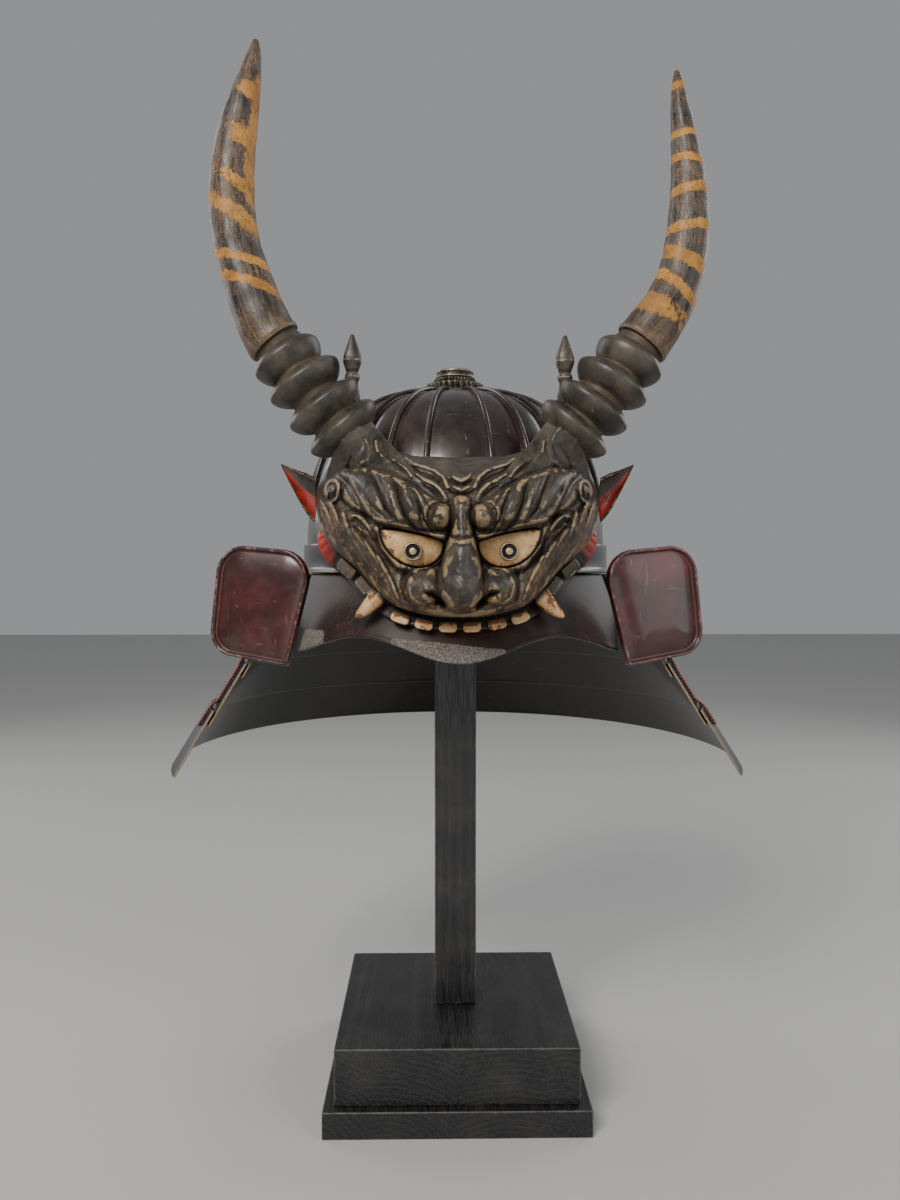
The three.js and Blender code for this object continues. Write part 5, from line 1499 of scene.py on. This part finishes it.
# %% File the teeth, and join the front six into one row
GUM_FRONT = 4.6
points, faces, marks, dirt_marks = [], [], [], []
for n in range(6):
    rings = tooth((n - 2.5) * 15, 11.2, 3.0, 9.6, GUM_FRONT + GAP, GUM_FRONT + GAP + 4.4, 0, n)
    start, (rows, cols) = len(points), rings.shape[:2]
    points += rings.reshape(-1, 3).tolist() + [rings[0].mean(0).tolist(), rings[-1].mean(0).tolist()]
    faces += grid_faces(rows, cols, around=True, start=start)
    faces += fan_faces(start, cols, start + rows * cols, True)
    faces += fan_faces(start + (rows - 1) * cols, cols, start + rows * cols + 1, False)
    # marks paint shade: dark at each tooth's root.
    marks += [0.85] * cols + [0.35] * cols + [0] * (cols * (rows - 2)) + [1, 0]
    dirt_marks += [1] * cols + [0.8] * cols + [0.3] * (cols * (rows - 2)) + [1, 0]
web = [mouth_point(w, [3.2, 6.0, 6.0, 3.2], [4.9, 4.9, 6.6, 6.6]) for w in np.linspace(-42.5, 42.5, 60)]
start = len(points)
points += np.array(web).reshape(-1, 3).tolist() + [web[0].mean(0).tolist(), web[-1].mean(0).tolist()]
faces += grid_faces(60, 4, around=True, start=start)
faces += fan_faces(start, 4, start + 240, True) + fan_faces(start + 236, 4, start + 241, False)
# The web between and behind the teeth is painted dark all over: painted shade.
marks += [1.0] * 242
dirt_marks += [1.0] * 242
dress(build("teeth_filed", points, faces, {"edge": marks, "hollow": dirt_marks}), cream, "cream_paint",
    "teeth")
for side, sign in SIDES.items():
    for n, (middle, width, near, far) in enumerate([(68, 13, 1.5, 8), (86, 15, 1.5, 9.5)]):
        rings = tooth(middle, width * 1.02, near, far, GUM_FRONT + 2.4, GUM_FRONT + 6.9, 0, 10 + n)
        rings[..., 0] *= sign
        # shade is painted light: each molar is paler towards its tip, and dustier towards its root.
        shade = np.repeat(np.array([0.1, 0.1, 0.2, 0.5, 0.8, 0.9, 0.6, 0.4])[:, None], 20, 1)
        piece = tube(f"molar_{side}_{n + 1}_cut", rings,
            {"edge": shade, "hollow": 0.8 - shade, "ochre": 0.4 + 0 * shade})
        dress(piece, carved, "carved_wood", f"molar_{side}_{n + 1}")

# %% Point the fangs
for side, sign in SIDES.items():
    root = np.array([53.0, 0, FACE["centre"] - 42])
    root[1] = -helmet_front(root[:1], root[2:], 20.4, 14)[0]
    axis = np.array([0.72, -0.2, -0.69])
    axis /= np.linalg.norm(axis)
    across = np.array([axis[2], 0, -axis[0]])
    across /= np.linalg.norm(across)
    forward = np.cross(axis, across)
    turn = np.linspace(0, TURN, 32, endpoint=False)
    rings, shade = [], []
    for way in (0, 1, 3, 5.5, 8, 11, 14, 17, 19, 20.3, 21):
        size = 6.5 * math.sqrt(max(1 - (way / 21.4) ** 1.7, 0.01)) * (1 - 0.25 * way / 21)
        bend = 1.4 * math.sin(math.pi * way / 21)
        flat = 1 - 0.16 * np.maximum(np.cos(3 * turn + 0.6), 0)
        rings.append(root + axis * way + np.array([0, 0, -0.8]) * bend + size * flat[:, None] * (
            np.cos(turn)[:, None] * across + np.sin(turn)[:, None] * forward * 0.9))
        # shade darkens the root of each fang where it meets the face: painted shade.
        shade.append([0.9 if way < 1.5 else 0.0] * 32)
    rings = np.array(rings)
    rings[..., 0] *= sign
    piece = tube(f"fang_{side}_pointed", rings, {"edge": shade, "hollow": np.array(shade) * 0 + 0.5})
    dress(piece, cream, "cream_paint", f"fang_{side}")

# %% Vermilion for the gum and the ears
vermilion, tree, shader = new_material("vermilion lacquer", roughness=0.42, coat=0.2, coat_roughness=0.25)
here = object_place(tree)
tone = between(tree, noise(tree, here, 90.0, 6, 0.65), 0.3, 0.7)
colour = blend_colour(tree, tone, paint("86180f"), paint("bf2c1c"))
# Near black falls where the dust mask does: dirt in its noise, and painted shade where a piece is marked
# hollow, over the gum behind the lip; on the ears it darkens the middle of each cup.
grime = place_group(tree, dusty, Place=here, Hollow=painted(tree, "hollow"), Haze=0.6, Specks=0.3, Scale=70.0)
colour = blend_colour(tree, grime.outputs["Mask"], colour, paint("140a08"))
rubbed = place_group(tree, worn_edge, Place=here, Edge=painted(tree, "edge"), Amount=0.6, Scale=240.0)
plug(tree, shader["Base Color"], blend_colour(tree, rubbed.outputs["Mask"], colour, paint("a4703c")))
plug(tree, shader["Roughness"], plus(tree, 0.36, times(tree, grime.outputs["Mask"], 0.3)))
plug(tree, shader["Normal"], bump(tree, noise(tree, here, 500.0, 3), 0.25, 0.0003))

# %% Lay the gum behind the lip
GUM = {"end": 120, "chin": 8, "corner": 12, "taper": 26, "behind": 3, "back": 1.6, "front": 4.6}
ways = np.linspace(-GUM["end"], GUM["end"], 241)
left = np.clip((GUM["end"] - np.abs(ways)) / GUM["taper"], 0, 1)
full = mix(GUM["chin"], GUM["corner"], np.abs(ways) / GUM["end"])
far = mix(0.5, full, np.sqrt(1 - (1 - left) ** 2))
shares = np.array([0, 0.12, 0.3, 0.5, 0.7, 0.86, 0.95, 1.0])
W, H = np.meshgrid(ways, shares, indexing="xy")
reach = mix(-GUM["behind"], far[None], H)
crease = 0.4 * np.sin(W * 1.3 + 2 * np.sin(W * 0.21)) * np.sin(math.pi * H)
raised = GUM["front"] - 1.0 * np.maximum(0, (H - 0.8) / 0.2) ** 2 + np.minimum(crease, 0)
front = mouth_point(W, reach, raised)
back = mouth_point(W, reach, GUM["back"] + 0 * reach)
# The gum's hollow mark is painted shade: strong everywhere but at the corners of the mouth, and strongest
# towards its back edge.
corner = soft_step(np.abs(W), 92, 112)
gum = sheet("gum_laid", front, back, {
    "hollow": (1.6 * (1 - corner) + 0.6 * (1 - H), H * 0), "edge": (soft_step(H, 0.85, 1.0) * 0.2, H * 0)})
dress(gum, vermilion, "vermilion", "gum")

# %% [markdown]
# ## Ears, horns and buds
# The ears are leaves of wood, cupped, black outside and red within. The horns stand in ringed
# bases like an antelope's, and each ends in a point. All are lofted: a ring of points moves
# along a line and changes size. The rings of the base lean like the threads of a worn screw,
# so the radius depends on the place along the horn and a little on the way round it.

# %% Cup the ears
EAR = {"x": 101.8, "z": 460, "y": -97, "height": 32, "length": 24, "lift": 25, "cup": 7, "wall": 3}
along = np.linspace(0, 1, 40)[:, None]
way = np.linspace(-1, 1, 33)[None]
high = np.interp(along, [0, 0.25, 0.5, 0.75, 1], [1, 0.88, 0.62, 0.34, 0.04])
rise = EAR["height"] / 2 * high * way
cup = EAR["cup"] * high * (1 - way ** 2) ** 0.8
base_x, base_y = EAR["x"] + EAR["length"] * along, EAR["y"] + 4 * along
base_z = EAR["z"] + EAR["lift"] * along ** 1.2
wall = EAR["wall"] * (1 - 0.7 * along) * (1 - way ** 2) ** 0.5 + 0.35
lip = 0.9 * np.exp(-((np.abs(way) - 0.86) / 0.08) ** 2) * high
for side, sign in SIDES.items():
    inner = np.stack([base_x + 0 * way, base_y + cup - lip, base_z + rise], -1)
    outer = np.stack([base_x + 0 * way, base_y + cup + wall, base_z + rise], -1)
    for grid in (inner, outer):
        grid[..., 0] *= sign
    red = soft_step(way, 0.2, 0.0) * soft_step(way, -0.88, -0.78) * soft_step(along, 0.93, 0.85)
    edge = np.exp(-((np.abs(way) - 0.9) / 0.1) ** 2) + 0 * along
    ear = sheet(f"ear_{side}_cupped", inner, outer, {
        "edge": (edge, edge), "hollow": (0.5 * (1 - np.abs(way)) + 0 * along, 0 * red),
        "ochre": (edge * 0.7, edge * 0.6)})
    ear.data.materials.append(carved)
    ear.data.materials.append(vermilion)
    inside_count = 39 * 32
    centres = red[:-1, :-1].reshape(-1)
    for i in range(inside_count):
        if centres[i] > 0.5:
            ear.data.polygons[i].material_index = 1
    dress(ear, carved, "carved_wood", f"ear_{side}")


# %% Follow a bent line with rings of points
def horn_rings(centres, radii, sides):
    """Rings square to the line of centres, with the way round measured from the outer side."""
    centres = np.asarray(centres, float)
    along = np.gradient(centres, axis=0)
    along /= np.linalg.norm(along, axis=1, keepdims=True)
    across = np.stack([along[:, 2], 0 * along[:, 0], -along[:, 0]], -1)
    across /= np.linalg.norm(across, axis=1, keepdims=True)
    forward = np.cross(along, across)
    turn = np.linspace(0, TURN, sides, endpoint=False)
    radii = np.broadcast_to(np.asarray(radii, float).reshape(len(centres), -1), (len(centres), sides))
    rings = centres[:, None] + radii[..., None] * (
        np.cos(turn)[None, :, None] * across[:, None] + np.sin(turn)[None, :, None] * forward[:, None])
    gone = np.concatenate([[0], np.cumsum(np.linalg.norm(np.diff(centres, axis=0), axis=1))])
    flow_map = np.stack([
        radii * np.cos(turn), radii * np.sin(turn), gone[:, None] + 0 * radii], -1) * MM
    return rings, flow_map, turn


def curve_through(corners, count):
    fine = smooth_line(np.array(corners, float), 40)
    gone = np.concatenate([[0], np.cumsum(np.linalg.norm(np.diff(fine[:, :3], axis=0), axis=1))])
    ways = np.linspace(0, gone[-1], count)
    return np.stack([np.interp(ways, gone, fine[:, i]) for i in range(fine.shape[1])], -1), ways


# %% Horn paint: dark glaze, crackled, over ochre stripes
horn_paint, tree, shader = new_material("striped horn paint", coat=0.12, coat_roughness=0.3, specular=0.45)
here, around = object_place(tree), flow(tree)
tone = between(tree, noise(tree, around, 40.0, 6, 0.65), 0.35, 0.68)
dark = blend_colour(tree, tone, paint("17130f"), paint("3a332b"))
grain = between(tree, noise(tree, stretch(tree, around, (420, 420, 36)), 1.0, 4, 0.6), 0.45, 0.62)
dark = blend_colour(tree, times(tree, grain, 0.4), dark, paint("5d5145"))
ragged = minus(tree, noise(tree, around, 260.0, 6, 0.75), 0.5)
band = between(tree, plus(tree, painted(tree, "stripe"), times(tree, ragged, 1.9)), 0.62, 0.74)
ochre = blend_colour(tree, tone, paint("8c5c1c"), paint("c28a3a"))
colour = blend_colour(tree, band, dark, ochre)
breaks = place_group(tree, crackled, Place=stretch(tree, around, (1, 1, 0.4)), Scale=420.0, Width=0.06)
seen = times(tree, breaks.outputs["Mask"], between(tree, noise(tree, around, 45.0, 3), 0.42, 0.58))
line_colour = blend_colour(tree, band, paint("a5713a"), paint("3a2312"))
colour = blend_colour(tree, times(tree, seen, 0.7), colour, line_colour)
grime = place_group(tree, dusty, Place=here, Hollow=painted(tree, "hollow"), Haze=0.5, Specks=0.3, Scale=70.0)
plug(tree, shader["Base Color"], blend_colour(tree, times(
    tree, grime.outputs["Mask"], 0.8), colour, paint("7c664a")))
plug(tree, shader["Roughness"], plus(tree, 0.4, times(tree, plus(tree, band, seen, clamp=True), 0.25)))
level = minus(tree, times(tree, grain, 0.6), plus(tree, seen, times(tree, band, 0.4)))
plug(tree, shader["Normal"], bump(tree, level, 0.6, 0.0005))
print("material:", horn_paint.name)

# %% Loft the horns, and mark their stripes
HORN_Y = -122
HORNS = {
    "left": [
        (124.4, 563.8, 20, 0), (127.4, 567.7, 19, 0), (134, 581, 18, 0), (142, 603, 16.8, 0),
        (149.5, 627, 15.8, 1),
        (153.5, 652, 15.5, 2), (154, 672, 15.2, 3), (152.8, 691, 14.4, 4), (150, 710, 13, 5),
        (146, 730, 10.6, 6),
        (142, 747, 7.6, 6), (139, 762, 4.4, 6), (138, 770, 1.8, 6)],
    "right": [
        (124.4, 563.8, 20, 0), (127.4, 567.7, 19, 0), (132.5, 575, 18.4, 0), (141.5, 588, 17.2, 0),
        (150.5, 608, 15.6, 1), (155.5, 631, 14.8, 2), (157.5, 656, 13.5, 3), (157, 679, 11.6, 4),
        (154.5, 704, 9, 5),
        (151.5, 729, 6, 6), (150, 744, 3.6, 6), (149.5, 751.5, 1.6, 6)],
}
# a stripe: height, half height, slant, and how strongly it keeps to the inner side
STRIPES = {
    "right": [(741, 4, .1, 0), (707, 3.5, .15, 0), (689, 4, -.1, 0), (668, 5, .2, 0), (642, 5, .1, 0),
    (619, 7, -.5, 0),
              (600, 5, -.8, 0), (584, 9, -.6, .3)],
    "left": [(734, 8, .3, .5), (703, 9, .4, .6), (650, 10, .7, .2), (618, 5, .3, 0), (602, 5.5, .4, 0),
    (672, 7, .6, .4)],
}
for side, sign in SIDES.items():
    centres, _ = curve_through([(x, HORN_Y + y, z, r) for x, z, r, y in HORNS[side]], 190)
    radii = centres[:, 3:]
    turn = np.linspace(0, TURN, 56, endpoint=False)
    ripple = 0.12 * np.sin(centres[:, 2:3] * 0.35 + 0.8 * np.cos(turn)[None]) * (radii > 5)
    facets = 0.25 * np.cos(5 * turn + centres[:, 2:3] * 0.02) * (radii / 20)
    radii = radii + ripple + facets
    radii[:3] *= np.array([[0.93], [0.97], [0.995]])
    rings, around, turn = horn_rings(centres[:, :3], radii, 56)
    inner_side = -np.cos(turn)[None]
    stripe = np.zeros(rings.shape[:2])
    for level, tall, slant, keep in STRIPES[side]:
        far = np.abs(rings[..., 2] - level - slant * (rings[..., 0] - centres[:, :1])) / tall
        painted_band = np.clip(1.25 - far ** 1.5, 0, 1)
        stripe = np.maximum(stripe, painted_band * (1 - keep * soft_step(inner_side, 0.4, -0.5)))
    if side == "left":
        run = soft_step(inner_side, 0.45, 0.85) * soft_step(rings[..., 2], 640, 660)
        run = run * soft_step(rings[..., 2], 760, 735)
        stripe = np.maximum(stripe, run)
    rings[..., 0] *= sign
    dirty = np.exp(-np.arange(190) / 4.0)[:, None] + 0 * stripe
    horn = tube(f"horn_{side}_painted", rings,
        {"flow": around, "stripe": stripe, "hollow": dirty, "edge": 0 * stripe})
    dress(horn, horn_paint, "carved_wood", f"horn_{side}")

# %% Turn the ringed bases
HORN_AXIS = [(66, 490.5), (79.5, 507), (92.3, 522), (105, 538.5), (116.5, 553.5), (124, 563.3)]
CRESTS, CORE, NECK = (27.5, 27, 26.5, 24.5), 17.5, 16.5
axis_line, ways = curve_through([(x, HORN_Y, z) for x, z in HORN_AXIS], 200)
stations = np.interp([x for x, z in HORN_AXIS], axis_line[:, 0], ways)
turn = np.linspace(0, TURN, 72, endpoint=False)
radii = np.full((200, 72), float(CORE)) + 0.3 * np.sin(3 * turn)[None]
for k, (crest, middle) in enumerate(zip(CRESTS, stations[1:5])):
    shift = 2.6 * np.sin(turn + 0.4 + 0.5 * k)[None] - 1.2 * np.cos(turn)[None]
    local = (ways[:, None] - middle - shift) / np.where(ways[:, None] - middle - shift < 0, 11.5, 7.0)
    swell = np.maximum(1 - np.abs(local) ** 1.7, 0) ** 0.8
    varied = 1 + 0.06 * np.sin(2 * turn + k)[None]
    radii = np.maximum(radii, CORE + (crest - CORE) * swell * varied)
radii = np.where(ways[:, None] > ways[-1] - 3, NECK + 0 * radii, radii)
radii[:30] = mix(np.full((30, 72), 5.0), radii[:30], soft_step(np.arange(30), 0, 22)[:, None])
for side, sign in SIDES.items():
    rings, around, _ = horn_rings(axis_line, radii, 72)
    rings[..., 0] *= sign
    # In the carved finish the grooves between the rings take painted shade, and the ring crests wear and a
    # painted highlight.
    deep = soft_step(radii, CORE + 4.5, CORE)
    ridge_mark = soft_step(radii, CORE + 5.5, CORE + 9)
    base = tube(f"horn_base_{side}_ringed", rings, {
        "flow": around, "hollow": deep * 0.9, "edge": ridge_mark * 0.6, "ochre": deep * 0.0})
    dress(base, carved, "carved_wood", f"horn_base_{side}")

# %% Turn the buds
BUD = [(0, 5.2), (4, 5.4), (7, 4.8), (10, 4.0), (13, 3.7), (15, 4.6), (17, 5.2), (18.5, 4.8), (20, 3.9),
    (22, 4.6),
       (25, 6.3), (28, 7.1), (31, 6.9), (35, 5.6), (39, 4.0), (43, 2.4), (46, 1.1), (47, 0.4)]
for side, sign in SIDES.items():
    turn = np.linspace(0, TURN, 32, endpoint=False)
    rings = []
    for up, radius in BUD:
        flute = 1 - 0.10 * np.abs(np.cos(2 * turn)) * (22 < up < 45)
        rings.append(np.stack([
            sign * (72.5 + radius * flute * np.cos(turn)), HORN_Y + radius * flute * np.sin(turn),
            524 + up + 0 * turn], -1))
    # The carved finish lays painted shade in the grooves marked here, and wear with a painted highlight on
    # the crests.
    marks = [[1.0 if up in (10, 13, 20, 22) else 0.1] * 32 for up, _ in BUD]
    crest = [[1.0 if up in (17, 28, 46, 47) else 0.1] * 32 for up, _ in BUD]
    bud = tube(f"bud_{side}_turned", rings, {"hollow": marks, "edge": crest, "ochre": np.array(marks) * 0.4})
    dress(bud, carved, "carved_wood", f"bud_{side}")

# %% [markdown]
# ## The studio
# The floor is a large pale sheet and the air around it is an even, pale grey. A white room
# would wash the dark lacquer out, and a black one would lose its edges, so the background is
# held a little below white and the panels do the modelling.

# %% Lay the floor and light the air
floor_mesh = bpy.data.meshes.new("floor")
floor_mesh.from_pydata([(-6, -6, 0), (6, -6, 0), (6, 6, 0), (-6, 6, 0)], [], [(0, 1, 2, 3)])
floor = bpy.data.objects.new("floor", floor_mesh)
bpy.context.scene.collection.objects.link(floor)
pale, tree, shader = new_material("pale floor", roughness=0.7, specular=0.3)
shader["Base Color"].default_value = (0.5, 0.5, 0.49, 1)
floor_mesh.materials.append(pale)
air = bpy.data.worlds.new("studio air")
air.use_nodes = True
air.node_tree.nodes["Background"].inputs["Color"].default_value = (0.72, 0.73, 0.75, 1)
air.node_tree.nodes["Background"].inputs["Strength"].default_value = 0.42
bpy.context.scene.world = air
